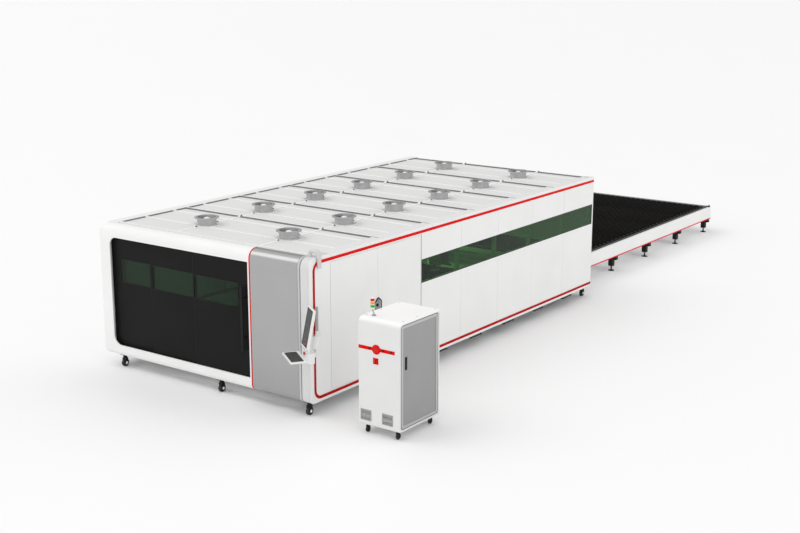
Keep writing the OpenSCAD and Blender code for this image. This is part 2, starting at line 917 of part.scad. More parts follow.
// Shuttle table: white side beams on dark legs, with a grey rail across the back end
tie_h = 86;
tie_in = 20;

module table_beams() {
    color(white)
        for (side = [0, 1])
            mirror([side, 0, 0])
                along_y(table_y0, table_y1)
                    round_rect([table_in, table_z0], [table_w2, table_top], [0, 8, 10, 10]);
}

module table_end_rail() {
    color("#9a9a9a")
        span([-table_in, table_y1 - end_t, table_top - end_h + 20], [table_in, table_y1, table_top + 20]);
}

module table_legs() {
    color("#333333")
        for (i = [0 : leg_rows - 1]) {
            y = leg_last - i * leg_pitch;
            span([-table_w2 + tie_in, y - leg_w / 2, table_z0 - tie_h],
                 [table_w2 - tie_in, y + leg_w / 2, table_z0]);
            for (x = [-leg_x, leg_x])
                span([x - leg_w / 2, y - leg_w / 2, leg_z0],
                     [x + leg_w / 2, y + leg_w / 2, table_z0 - tie_h]);
        }
}

// Pallets: a frame on wheels, with upright slats standing in its notched side bars
pallet_gap = 60;
pallet_w2 = table_in - pallet_gap;
pallet_bar_w = 70;
pallet_bar_h = 84;
pallet_bar_z = 20;
pallet_wheel_r = 34;
pallet_wheel_w = 34;
pallet_wheels = 5;
pallet_ties = 4;
slat_t = 6;
slat_seat = 36;
slat_tooth = 22;
slat_teeth = 22;
slat_count = floor((pallet_l - 2 * pallet_bar_w - slat_pitch) / slat_pitch);
slat_first = (pallet_l - slat_count * slat_pitch) / 2;
slat_z0 = pallet_bar_z + pallet_bar_h - slat_seat;
slat_half = pallet_w2 - 12;
pallet_out = 105;
pallet_in = 435;
pallet_out_y = rear_y + pallet_out;
pallet_travel = enc_l + pallet_out - pallet_in;

module pallet_wheel() {
    rotate([0, 90, 0]) cylinder(r = pallet_wheel_r, h = pallet_wheel_w);
    translate([-10, 0, 0]) rotate([0, 90, 0]) cylinder(r = 12, h = 12);
}

module pallet_side() {
    x0 = pallet_w2 - pallet_bar_w;
    difference() {
        span([x0, 0, pallet_bar_z], [pallet_w2, pallet_l, pallet_bar_z + pallet_bar_h]);
        for (i = [0 : slat_count])
            translate([x0 - past, slat_first + i * slat_pitch - slat_t / 2 - clear, slat_z0])
                cube([slat_half - x0 + past + clear, slat_t + 2 * clear, slat_seat + past]);
    }
    for (i = [0 : pallet_wheels - 1])
        translate([pallet_w2 + 9, 200 + i * (pallet_l - 400) / (pallet_wheels - 1), pallet_wheel_r + clear])
            pallet_wheel();
}

module pallet_frame() {
    x0 = pallet_w2 - pallet_bar_w;
    pallet_side();
    mirror([1, 0, 0]) pallet_side();
    for (y = [0, pallet_l - pallet_bar_w])
        span([-x0, y, pallet_bar_z], [x0, y + pallet_bar_w, pallet_bar_z + pallet_bar_h]);
    for (i = [1 : pallet_ties])
        translate([0, i * pallet_l / (pallet_ties + 1), 0])
            span([-x0, -25, pallet_bar_z], [x0, 25, slat_z0 - clear]);
}

// One slat with a toothed top edge
module slat() {
    step = 2 * slat_half / slat_teeth;
    base = slat_z0 + slat_h - slat_tooth;
    along_y(-slat_t / 2, slat_t / 2)
        polygon(concat(
            [[slat_half, slat_z0], [-slat_half, slat_z0], [-slat_half, base]],
            [for (i = [0 : slat_teeth - 1], k = [0.5, 1])
                [-slat_half + (i + k) * step, k < 1 ? base + slat_tooth : base]]
        ));
}

module pallet_slats() {
    for (i = [0 : slat_count])
        translate([0, slat_first + i * slat_pitch, 0]) slat();
}

module pallet_upper_frame() {
    color(black) translate([0, pallet_out_y, track_upper]) pallet_frame();
}

module pallet_upper_slats() {
    color("#161616") translate([0, pallet_out_y, track_upper]) pallet_slats();
}

module pallet_lower_frame() {
    color(black) translate([0, pallet_out_y - pallet_travel, track_lower]) pallet_frame();
}

module pallet_lower_slats() {
    color("#161616") translate([0, pallet_out_y - pallet_travel, track_lower]) pallet_slats();
}

// Conduit that arches from the roof border over the edge and down the side
arch_r = 32;
arch_bend = 46;
arch_x0 = enc_x - 129;
arch_x1 = enc_x + arch_r + stripe_t + 2;
arch_y = front_y + 195;
arch_top = enc_h + 84;
arch_end_z = enc_h - 155;
arch_bore = 27;

module arch_elbow() {
    rotate_extrude(angle = 90)
        translate([arch_bend, 0]) circle(arch_r);
}

module cable_arch() {
    color(white)
        translate([0, arch_y, 0])
            difference() {
                union() {
                    translate([arch_x0, 0, enc_h]) cylinder(r = arch_r, h = arch_top - arch_bend - enc_h);
                    translate([arch_x0 + arch_bend, 0, arch_top - arch_bend])
                        rotate([90, 0, 0]) mirror([1, 0, 0]) arch_elbow();
                    translate([arch_x0 + arch_bend, 0, arch_top])
                        rotate([0, 90, 0]) cylinder(r = arch_r, h = arch_x1 - arch_x0 - 2 * arch_bend);
                    translate([arch_x1 - arch_bend, 0, arch_top - arch_bend])
                        rotate([90, 0, 0]) arch_elbow();
                    translate([arch_x1, 0, arch_end_z])
                        cylinder(r = arch_r, h = arch_top - arch_bend - arch_end_z);
                }
                translate([arch_x1, 0, arch_end_z - past]) cylinder(r = arch_bore, h = 60 + past);
            }
}

// Console: mast in a wall bracket, base, leaning monitor, keyboard tray and stop button
mast_x = enc_x + mast_off;
mast_y = front_y + 105;
mast_r = 22;
mast_top = 1690;
mast_bend = 80;
arm_z = 965;
arm_reach = 250;
mount_z0 = 1065;
mount_z1 = 1250;
mount_y0 = front_y + 65;
mount_y1 = front_y + 255;
base_w = 190;
base_d = 105;
base_z0 = 936;
base_h = 149;
base_off = [196, -163];
monitor_t = 38;
monitor_pivot_z = 1180;
monitor_foot = 22;
monitor_back = 16;
ear_x = 62;
ear_t = 12;
axle_r = 5;
monitor_off = base_off[0] + 12;
pivot_y = base_off[1] - 30;
tray_d = 238;
tray_t = 26;
tray_z = 1020;
tray_hinge_y = base_off[1] - base_d / 2 - 34;
estop_x = base_off[0] - base_w / 2 + 40;
estop_z = 1060;
estop_r = 21;

// Places its children in the console's own axes: x to the operator's right, y away from the operator
module console_axes() {
    translate([mast_x, mast_y, 0]) rotate([0, 0, -console_turn]) children();
}

module console_mount() {
    color(white)
        difference() {
            union() {
                span([enc_x, mount_y0, mount_z0 - 90], [enc_x + 12, mount_y1, mount_z1]);
                span([enc_x, mast_y - 38, mount_z0], [mast_x, mast_y + 38, mount_z1]);
                translate([mast_x, mast_y, mount_z0]) cylinder(r = 38, h = mount_z1 - mount_z0);
            }
            translate([mast_x, mast_y, mount_z0 - past])
                cylinder(r = mast_r + clear, h = mount_z1 - mount_z0 + 2 * past);
            span([enc_x - past, loop_y0 - clear, mount_z0 - 90 - past],
                 [enc_x + stripe_t + clear, loop_y0 + stripe_w + clear, mount_z1 + past]);
        }
}

module console_arm() {
    color(white) {
        translate([mast_x, mast_y, arm_z + mast_bend])
            cylinder(r = mast_r, h = mast_top - arm_z - mast_bend);
        translate([mast_x, mast_y, mount_z1 + clear]) cylinder(r = mast_r + 10, h = 24);
        translate([mast_x, mast_y - mast_bend, arm_z + mast_bend])
            rotate([0, 90, 0]) rotate_extrude(angle = 90) translate([mast_bend, 0]) circle(mast_r);
        translate([mast_x, mast_y - arm_reach, arm_z])
            rotate([-90, 0, 0]) cylinder(r = mast_r, h = arm_reach - mast_bend);
        console_axes() {
            translate([base_off[0] - base_w / 2, base_off[1] - base_d / 2, base_z0])
                difference() {
                    cube([base_w, base_d, base_h]);
                    translate([estop_x - base_off[0] + base_w / 2, -past, estop_z - base_z0])
                        rotate([-90, 0, 0]) cylinder(r = 11 + clear, h = 30 + past);
                }
            for (side = [-1, 1])
                difference() {
                    translate([monitor_off + side * ear_x - ear_t / 2, pivot_y - 9, base_z0 + base_h - 1])
                        cube([ear_t, 24, monitor_pivot_z - base_z0 - base_h + 13]);
                    translate([monitor_off + side * ear_x - ear_t, pivot_y, monitor_pivot_z])
                        rotate([0, 90, 0]) cylinder(r = axle_r + clear, h = 2 * ear_t);
                }
            for (side = [-1, 1])
                difference() {
                    translate([base_off[0] + side * tray_ear_x - ear_t / 2, tray_hinge_y - 10, tray_z - 12])
                        cube([ear_t, base_off[1] - base_d / 2 - tray_hinge_y + 11, 24]);
                    translate([base_off[0] + side * tray_ear_x - ear_t, tray_hinge_y, tray_z])
                        rotate([0, 90, 0]) cylinder(r = axle_r + clear, h = 2 * ear_t);
                }
        }
    }
}

// Places its children in the monitor's axes: origin on the tilt pivot, leaning back
module monitor_axes() {
    console_axes()
        translate([monitor_off, pivot_y, monitor_pivot_z]) rotate([-monitor_lean, 0, 0]) children();
}

screen_rim = 14;
screen_chin = 22;
screen_set = 6;

module monitor_case() {
    front = -monitor_t - monitor_back;
    lug = ear_x - ear_t / 2 - 2;
    color(white)
        monitor_axes() {
            difference() {
                along_y(front, -monitor_back)
                    round_rect([-monitor_w / 2, -monitor_foot], [monitor_w / 2, monitor_h - monitor_foot],
                               [10, 10, 10, 10]);
                span([-monitor_w / 2 + screen_rim, front - past, screen_chin - monitor_foot],
                     [monitor_w / 2 - screen_rim, front + screen_set,
                      monitor_h - monitor_foot - screen_rim]);
            }
            span([-lug, -monitor_back - 1, -10], [lug, 10, 10]);
            translate([-ear_x - ear_t / 2 - 3, 0, 0])
                rotate([0, 90, 0]) cylinder(r = axle_r, h = 2 * ear_x + ear_t + 6);
        }
}

module monitor_screen() {
    front = -monitor_t - monitor_back;
    color("#4a4a4a")
        monitor_axes()
            span([-monitor_w / 2 + screen_rim + clear, front + 2, screen_chin - monitor_foot + clear],
                 [monitor_w / 2 - screen_rim - clear, front + screen_set,
                  monitor_h - monitor_foot - screen_rim - clear]);
}

tray_ear_x = 70;
tray_shift = -16;
tray_rim = 18;
tray_back = -12;
tray_well = 9;

module keyboard_tray() {
    rim = tray_rim;
    back = tray_back;
    barrel = tray_ear_x - ear_t / 2 - 2;
    color(white)
        console_axes()
            translate([base_off[0], tray_hinge_y, tray_z]) {
                difference() {
                    span([tray_shift - tray_w / 2, back - tray_d, -tray_t / 2],
                         [tray_shift + tray_w / 2, back, tray_t / 2]);
                    span([tray_shift - tray_w / 2 + rim, back - tray_d + rim, tray_t / 2 - tray_well],
                         [tray_shift + tray_w / 2 - rim, back - rim - 16, tray_t / 2 + past]);
                    for (side = [-1, 1])
                        translate([side * tray_ear_x - ear_t, back - 20, -tray_t])
                            cube([2 * ear_t, 20 + past, 2 * tray_t]);
                }
                span([-barrel, back - 1, -9], [barrel, 0, 9]);
                translate([-tray_ear_x - ear_t / 2 - 3, 0, 0])
                    rotate([0, 90, 0]) cylinder(r = axle_r, h = 2 * tray_ear_x + ear_t + 6);
                translate([-barrel, 0, 0]) rotate([0, 90, 0]) cylinder(r = 9, h = 2 * barrel);
            }
}

// Dark key field lying in the tray: a plate with rows of keys
module keyboard_keys() {
    key = 17;
    key_pitch = 20;
    row_pitch = 24;
    plate_w = tray_w - 2 * tray_rim - 2 * clear;
    plate_d = tray_d - 2 * tray_rim - 16 - 2 * clear;
    cols = floor(plate_w / key_pitch);
    rows = floor(plate_d / row_pitch);
    color("#2a2a2a")
        console_axes()
            translate([base_off[0] + tray_shift, tray_hinge_y + tray_back - tray_d / 2 - 8,
                       tray_z + tray_t / 2 - tray_well]) {
                span([-plate_w / 2, -plate_d / 2, 0], [plate_w / 2, plate_d / 2, 3]);
                for (c = [0 : cols - 1], r = [0 : rows - 1])
                    translate([(c - (cols - 1) / 2) * key_pitch - key / 2,
                               (r - (rows - 1) / 2) * row_pitch - key / 2, 2])
                        cube([key, key, 6]);
            }
}

module console_estop() {
    color(red)
        console_axes()
            translate([estop_x, base_off[1] - base_d / 2 - 24, estop_z])
                rotate([-90, 0, 0]) {
                    cylinder(r = estop_r, h = 14);
                    cylinder(r = 11, h = 24 + 20);
                }
}

// Control cabinet on casters, with a grey door in its right side
cab_x0 = enc_x + cab_gap;
cab_x1 = cab_x0 + cab_w;
cab_y0 = front_y + 10;
cab_y1 = cab_y0 + cab_d;
cab_r = 90;
cab_wall = 22;
cab_door_t = 26;
cab_door_m = 34;
cab_lip = 30;
vent_z = 214;
vent_h = 150;
vent_slots = 6;
vent_x = [38, 415];
vent_w = 176;
cab_gap_t = 2.5;
cab_pin_r = 4;
cab_pin_in = 6;
cab_pin_edge = 14;
cab_pin_y = cab_y1 - cab_door_m - cab_pin_edge;
// Circle that the door's inner rear corner sweeps round its pins
cab_sweep = norm([cab_door_t - cab_pin_in, cab_pin_edge]) + 1;
lock_w = 30;
lock_h = 168;
lock_t = 16;
lock_x = cab_x1 - 2 - lock_t / 2;
lock_y = cab_y0 + 158;
lock_z = 1030;
lock_pivot_z = lock_z + lock_h - lock_t / 2;

module cabinet_outline(inset) {
    round_rect([cab_y0 + inset, cab_z0 + inset], [cab_y1 - inset, cab_top - inset],
               [cab_r / 3, 0, 0, cab_r - inset]);
}

module cabinet_shell() {
    color(white)
        difference() {
            along_x(cab_x0, cab_x1) cabinet_outline(0);
            along_x(cab_x0 + cab_wall, cab_x1 - cab_door_t - cab_lip) cabinet_outline(cab_wall);
            along_x(cab_x1 - cab_door_t - cab_lip - past, cab_x1 + past)
                cabinet_outline(cab_wall + cab_lip);
            along_x(cab_x1 - cab_door_t - clear, cab_x1 + past) cabinet_outline(cab_door_m - cab_gap_t);
            span([cab_x1 - cab_pin_in - cab_sweep, cab_pin_y - cab_sweep, cab_z0 + cab_door_m - cab_gap_t],
                 [cab_x1 - cab_door_t, cab_y1 - cab_door_m + cab_gap_t, cab_top - cab_door_m + cab_gap_t]);
            translate([cab_x1 - cab_pin_in, cab_pin_y, cab_z0 + cab_door_m - cab_gap_t - pin_l])
                cylinder(r = cab_pin_r + clear,
                         h = cab_top - cab_z0 - 2 * cab_door_m + 2 * cab_gap_t + 2 * pin_l);
            for (x = vent_x, i = [0 : vent_slots - 1])
                translate([cab_x0 + x, cab_y0 - past, vent_z + i * vent_h / vent_slots])
                    cube([vent_w, cab_wall + 2 * past, 0.5 * vent_h / vent_slots]);
            translate([switch_x, cab_y0 - past, switch_z])
                rotate([-90, 0, 0]) cylinder(r = switch_shaft_r + clear, h = cab_wall + 2 * past);
            for (x = button_x)
                translate([x, cab_y0 - past, band_z])
                    rotate([-90, 0, 0]) cylinder(r = button_r + clear, h = cab_wall + 2 * past);
        }
}

module cabinet_door() {
    recess = 5;
    border = 48;
    pin_h = pin_l + cab_gap_t - clear + past;
    color(grey) {
        difference() {
            along_x(cab_x1 - cab_door_t, cab_x1) cabinet_outline(cab_door_m);
            along_x(cab_x1 - recess, cab_x1 + past) cabinet_outline(cab_door_m + border);
            span([cab_x1 - lock_t - 2, lock_y - lock_w / 2 - clear, lock_z - clear],
                 [cab_x1 + past, lock_y + lock_w / 2 + clear, lock_z + lock_h + clear]);
            translate([lock_x, lock_y - lock_w, lock_pivot_z])
                rotate([-90, 0, 0]) cylinder(r = 3 + clear, h = 2 * lock_w);
        }
        translate([cab_x1 - cab_pin_in, cab_pin_y, cab_z0 + cab_door_m + past - pin_h])
            cylinder(r = cab_pin_r, h = pin_h);
        translate([cab_x1 - cab_pin_in, cab_pin_y, cab_top - cab_door_m - past])
            cylinder(r = cab_pin_r, h = pin_h);
    }
}

// Swing handle lying in the door's pocket, with its pivot at the top
module cabinet_handle() {
    half = lock_t / 2 - clear;
    color(black) {
        span([lock_x - half, lock_y - lock_w / 2, lock_z],
             [lock_x + half, lock_y + lock_w / 2, lock_pivot_z]);
        translate([lock_x, lock_y - lock_w / 2, lock_pivot_z])
            rotate([-90, 0, 0]) cylinder(r = half, h = lock_w);
        translate([lock_x, lock_y - lock_w + 3, lock_pivot_z])
            rotate([-90, 0, 0]) cylinder(r = 3, h = 2 * lock_w - 6);
    }
}

// Red band, disc, switch and buttons on the cabinet's front
band_z = 1283;
band_h = 50;
band_t = 3;
band_x0 = cab_x0 + 2;
band_l = 626;
band_x1 = band_x0 + band_l;
disc_in = 312;
switch_in = 301;
disc_x = cab_x0 + disc_in;
disc_r = 70;
switch_x = cab_x0 + switch_in;
switch_z = 1112;
switch_plate = 92;
switch_shaft_r = 12;
button_r = 13;
button_x = [disc_x - 118, disc_x + 118, disc_x + 255];
lamp_x = disc_x - 243;

module cabinet_trim() {
    color(red)
        difference() {
            union() {
                span([band_x0, cab_y0 - band_t, band_z - band_h / 2],
                     [band_x1, cab_y0, band_z + band_h / 2]);
                translate([disc_x, cab_y0 - band_t - 5, band_z])
                    rotate([-90, 0, 0]) cylinder(r = disc_r, h = band_t + 5);
                translate([lamp_x, cab_y0 - band_t - 6, band_z])
                    rotate([-90, 0, 0]) cylinder(r = button_r, h = band_t + 6);
                span([switch_x - switch_plate / 2, cab_y0 - band_t, switch_z - switch_plate / 2],
                     [switch_x + switch_plate / 2, cab_y0, switch_z + switch_plate / 2]);
            }
            for (x = button_x)
                translate([x, cab_y0 - past, band_z])
                    rotate([-90, 0, 0]) cylinder(r = button_r + clear, h = 2 * past);
            translate([switch_x, cab_y0 - past, switch_z])
                rotate([-90, 0, 0]) cylinder(r = switch_shaft_r + clear, h = 2 * past);
        }
}

module main_switch() {
    knob = 30;
    color(red)
        translate([switch_x, cab_y0 - band_t - clear, switch_z])
            rotate([90, 0, 0]) {
                cylinder(r = knob, h = 12);
                translate([-9, -knob + 3, 12]) cube([18, 2 * knob - 6, 18]);
                translate([0, 0, -band_t - cab_wall - 4])
                    cylinder(r = switch_shaft_r, h = band_t + cab_wall + 5);
            }
}

module button(x) {
    color(black)
        translate([x, cab_y0 - band_t - 8, band_z])
            rotate([-90, 0, 0]) cylinder(r = button_r, h = band_t + 8 + cab_wall);
}

module button_left() {
    button(button_x[0]);
}

module button_middle() {
    button(button_x[1]);
}

module button_right() {
    button(button_x[2]);
}

// Casters of the cabinet
caster_in = 92;
caster_x = [cab_x0 + caster_in, cab_x1 - caster_in];
caster_y = [cab_y0 + caster_in, cab_y1 - caster_in];
caster_w = 30;
caster_axle_r = 6;

module caster_fork() {
    gap = caster_w / 2 + 1.5;
    cheek = 4;
    plate = 80;
    translate([-plate / 2, -plate / 2, cab_z0 - 6]) cube([plate, plate, 6]);
    translate([0, 0, 2 * wheel_r + 8]) cylinder(r = 26, h = cab_z0 - 2 * wheel_r - 8);
    translate([-gap - cheek, -24, 2 * wheel_r + 4]) cube([2 * (gap + cheek), 48, 8]);
    for (side = [-1, 1])
        translate([side * (gap + cheek / 2) - cheek / 2, 0, 0]) {
            translate([0, -24, wheel_r]) cube([cheek, 48, wheel_r + 8]);
            translate([0, 0, wheel_r]) rotate([0, 90, 0]) cylinder(r = 24, h = cheek);
        }
    translate([-gap - cheek, 0, wheel_r])
        rotate([0, 90, 0]) cylinder(r = caster_axle_r, h = 2 * (gap + cheek));
}

module cabinet_forks() {
    color(black)
        for (x = caster_x, y = caster_y)
            translate([x, y, 0]) caster_fork();
}

module caster_wheel(x, y) {
    color("#101010")
        translate([x - caster_w / 2, y, wheel_r])
            rotate([0, 90, 0])
                rotate_extrude()
                    polygon([
                        [caster_axle_r + clear, 0], [wheel_r - 4, 0], [wheel_r, 4],
                        [wheel_r, caster_w - 4], [wheel_r - 4, caster_w], [caster_axle_r + clear, caster_w]
                    ]);
}

module wheel_front_left() {
    caster_wheel(caster_x[0], caster_y[0]);
}

module wheel_front_right() {
    caster_wheel(caster_x[1], caster_y[0]);
}

module wheel_rear_left() {
    caster_wheel(caster_x[0], caster_y[1]);
}

module wheel_rear_right() {
    caster_wheel(caster_x[1], caster_y[1]);
}

// Laser source on the cabinet's floor, with a fibre outlet on top
source_side = 90;
source_front = 160;
source_back = 120;
source_h = 520;
outlet_r = 40;
outlet_h = 60;

module laser_source() {
    z0 = cab_z0 + cab_wall;
    x0 = cab_x0 + source_side;
    x1 = cab_x1 - source_back;
    y0 = cab_y0 + source_front;
    y1 = cab_y1 - source_back;
    color("#5c6066") {
        span([x0, y0, z0], [x1, y1, z0 + source_h]);
        translate([(x0 + x1) / 2, (y0 + y1) / 2, z0 + source_h]) cylinder(r = outlet_r, h = outlet_h);
    }
}

// Signal tower: folding foot, cranked stem and three lenses
tower_x = cab_x0 + 152;
tower_y = cab_y0 + 160;
tower_lens_r = 29;
tower_lens_h = 38;
tower_ring_h = 8;
tower_stem_r = 8;
tower_crank = 24;
tower_stack_z = cab_top + 108;

module tower_pole() {
    color("#e6e6e6") {
        translate([tower_x, tower_y, cab_top]) cylinder(r = 32, h = 10);
        translate([tower_x, tower_y, cab_top]) cylinder(r = tower_stem_r, h = 40);
        translate([tower_x, tower_y, cab_top + 36])
            rotate([0, -atan2(tower_crank, 44), 0]) cylinder(r = tower_stem_r, h = norm([tower_crank, 44]));
        translate([tower_x - tower_crank, tower_y, cab_top + 78]) cylinder(r = tower_stem_r, h = 20);
        translate([tower_x - tower_crank, tower_y, tower_stack_z - 12]) cylinder(r = 14, h = 12);
        for (i = [0 : 3])
            translate([tower_x - tower_crank, tower_y, tower_stack_z + i * (tower_lens_h + tower_ring_h)])
                cylinder(r = tower_lens_r + 1, h = tower_ring_h);
        translate([tower_x - tower_crank, tower_y, tower_stack_z])
            cylinder(r = 6, h = 3 * (tower_lens_h + tower_ring_h));
    }
}

module tower_lenses() {
    color("#d8a000")
        for (i = [0 : 2])
            translate([tower_x - tower_crank, tower_y,
                       tower_stack_z + tower_ring_h + i * (tower_lens_h + tower_ring_h)])
                difference() {
                    cylinder(r = tower_lens_r, h = tower_lens_h);
                    translate([0, 0, -past]) cylinder(r = 6 + clear, h = tower_lens_h + 2 * past);
                }
}

skeleton();
front_fascia();
front_column();
corner_post();
red_trim();
right_wall();
right_window();
left_wall();
rear_wall();
roof_panel();
exhaust_collars();
door_leaf_left();
door_window_left();
door_leaf_mid();
door_window_mid();
door_leaf_right();
door_window_right();
door_handle();
side_door_front();
side_door_rear();
side_latch();
base_brackets();
base_wheels();
bed();
track_rails();
levelling_feet();
gantry_beam();
carriage();
cutting_head();
table_beams();
table_end_rail();
table_legs();
pallet_upper_frame();
pallet_upper_slats();
pallet_lower_frame();
pallet_lower_slats();
cable_arch();
console_mount();
console_arm();
monitor_case();
monitor_screen();
keyboard_tray();
keyboard_keys();
console_estop();
cabinet_shell();
cabinet_door();
cabinet_handle();
cabinet_trim();
cabinet_forks();
wheel_front_left();
wheel_front_right();
wheel_rear_left();
wheel_rear_right();
main_switch();
button_left();
button_middle();
button_right();
laser_source();
tower_pole();
tower_lenses();
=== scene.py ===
# %% [markdown]
# # Dressing a fiber laser cutting machine
# The solids of the machine come in as a fixed frame, in metres, and keep their places.
# This lesson gives every solid the finish of the real thing and adds the small parts
# that a solid model leaves out: seals, fasteners, vents, fans and frames.

# %% Load the frame
from math import atan2, cos, hypot, pi, radians, sin

import bmesh
import bpy
from mathutils import Matrix, Vector


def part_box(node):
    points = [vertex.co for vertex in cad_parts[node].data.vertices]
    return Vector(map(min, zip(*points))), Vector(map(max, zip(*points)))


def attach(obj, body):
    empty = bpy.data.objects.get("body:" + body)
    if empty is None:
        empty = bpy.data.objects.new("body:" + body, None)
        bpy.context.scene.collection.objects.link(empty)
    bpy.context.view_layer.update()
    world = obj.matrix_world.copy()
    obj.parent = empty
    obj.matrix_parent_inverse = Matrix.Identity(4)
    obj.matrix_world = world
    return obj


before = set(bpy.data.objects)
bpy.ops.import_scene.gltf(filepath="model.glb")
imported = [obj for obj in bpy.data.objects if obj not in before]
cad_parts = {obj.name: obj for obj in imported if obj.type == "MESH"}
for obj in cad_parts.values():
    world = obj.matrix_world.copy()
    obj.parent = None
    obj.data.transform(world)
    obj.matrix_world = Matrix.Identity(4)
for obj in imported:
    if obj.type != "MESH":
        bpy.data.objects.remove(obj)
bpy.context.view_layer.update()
scene = bpy.context.scene

# %% [markdown]
# ## Camera
# The view is from the front right, a little above the roof, through a short telephoto.
# The lens and the place were solved from the housing's edges, so the frame is 36 mm wide
# and the camera is neither rolled nor shifted.

# %% Place the camera
LENS_MM, FILM_MM = 58.28, 36.0
EYE = (13.7589, -18.0227, 6.6455)
LOOKS_DOWN, HEADING = 13.65, 35.99
camera_data = bpy.data.cameras.new("camera")
camera_data.lens = LENS_MM
camera_data.sensor_width = FILM_MM
camera_data.sensor_fit = "HORIZONTAL"
camera_data.clip_end = 900.0
camera = bpy.data.objects.new("camera", camera_data)
camera.location = EYE
camera.rotation_euler = (radians(90 - LOOKS_DOWN), 0.0, radians(HEADING))
scene.collection.objects.link(camera)
scene.camera = camera
print("camera at", [round(c, 2) for c in camera.location])

# %% [markdown]
# ## Helpers for finishes
# Colours are picked as sRGB hex values, but shaders work in linear light, so one function
# turns the one into the other. A second one adds a node with its settings and its links,
# which keeps every material below to a few readable lines.

# %% Colour and node helpers
def linear(hex_colour):
    channels = [int(hex_colour[i:i + 2], 16) / 255 for i in (1, 3, 5)]
    return tuple(c / 12.92 if c <= 0.04045 else ((c + 0.055) / 1.055) ** 2.4
                 for c in channels) + (1.0,)


def add(tree, kind, links=None, inputs=None, **settings):
    node = tree.nodes.new(kind)
    for key, value in settings.items():
        setattr(node, key, value)
    for key, value in (inputs or {}).items():
        node.inputs[key].default_value = value
    for key, source in (links or {}).items():
        tree.links.new(source, node.inputs[key])
    return node


print("mid grey #808080 is", round(linear("#808080")[0], 3), "in linear light")

# %% [markdown]
# ## Sheet metal finishes
# Paint on sheet metal is never one flat tone: film thickness and dust change it by a few
# percent over half a metre, and the sprayed skin has a fine orange peel. A slow noise
# drives tone and gloss together, and a quicker one drives the bump. Orange peel is about
# 2 mm wide, which is far below a pixel here, so it is drawn as coarse as it needs to show.

# %% Build a finish from tone, gloss and grain
def surface(name, pale, deep, patch_mm, gloss, grain_mm, grain_height_mm,
            stretch=(1, 1, 1), sockets=None):
    material = bpy.data.materials.new(name)
    material.use_nodes = True
    tree = material.node_tree
    shader = tree.nodes["Principled BSDF"]
    where = add(tree, "ShaderNodeTexCoord").outputs["Object"]
    laid = add(tree, "ShaderNodeMapping", {"Vector": where}, {"Scale": stretch}).outputs["Vector"]
    patch = add(tree, "ShaderNodeTexNoise", {"Vector": laid},
                {"Scale": 1000 / patch_mm, "Detail": 4.0})
    tone = add(tree, "ShaderNodeMix", {0: patch.outputs["Fac"]},
               {6: linear(pale), 7: linear(deep)}, data_type="RGBA")
    shine = add(tree, "ShaderNodeMapRange", {"Value": patch.outputs["Fac"]},
                {"From Min": 0.3, "From Max": 0.7, "To Min": gloss[0], "To Max": gloss[1]})
    grain = add(tree, "ShaderNodeTexNoise", {"Vector": laid},
                {"Scale": 1000 / grain_mm, "Detail": 2.0})
    relief = add(tree, "ShaderNodeBump", {"Height": grain.outputs["Fac"]},
                 {"Strength": 1.0, "Distance": grain_height_mm / 1000})
    tree.links.new(tone.outputs[2], shader.inputs["Base Color"])
    tree.links.new(shine.outputs["Result"], shader.inputs["Roughness"])
    tree.links.new(relief.outputs["Normal"], shader.inputs["Normal"])
    for socket, value in (sockets or {}).items():
        shader.inputs[socket].default_value = value
    return material


def dress(material, *names):
    for name in names:
        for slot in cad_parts[name].material_slots:
            slot.material = material
    print(material.name, "on", len(names), "solids")


# polyester powder coat, satin: an even white with a faint drift of tone
def house_white(name):
    return surface(name, "#f3f3f2", "#e9e9e8", 700, (0.40, 0.52), 30, 0.03)


white_powder = house_white("white_powder_coat")
dress(white_powder, "left_wall", "rear_wall", "table_beams", "console_mount", "skeleton")
# silver metallic coat: flakes in the paint mirror the room softly
silver_coat = surface("silver_metallic_coat", "#b0b0b0", "#a8a8a8", 700, (0.20, 0.25), 30, 0.01,
                      sockets={"Metallic": 0.88})
dress(silver_coat, "front_column")
# plain light grey coat of the vent plates
grey_powder = surface("grey_powder_coat", "#acacac", "#a0a0a0", 700, (0.44, 0.56), 30, 0.03)
# gloss enamel: deep red
red_enamel = surface("red_gloss_enamel", "#e40d08", "#d80a06", 400, (0.30, 0.40), 25, 0.02,
                     sockets={"Specular IOR Level": 0.06})
dress(red_enamel, "cabinet_trim")
# machine enamel on the welded frame: thicker, with a visible roll
bed_enamel = surface("machine_bed_enamel", "#d3d6d8", "#c4c8ca", 500, (0.42, 0.56), 20, 0.08)
dress(bed_enamel, "bed", "gantry_beam")
# end of the table: a darker grey coat that boots have scuffed
end_grey = surface("scuffed_grey_coat", "#9b9c9d", "#86888a", 160, (0.42, 0.62), 18, 0.08)
dress(end_grey, "table_end_rail")
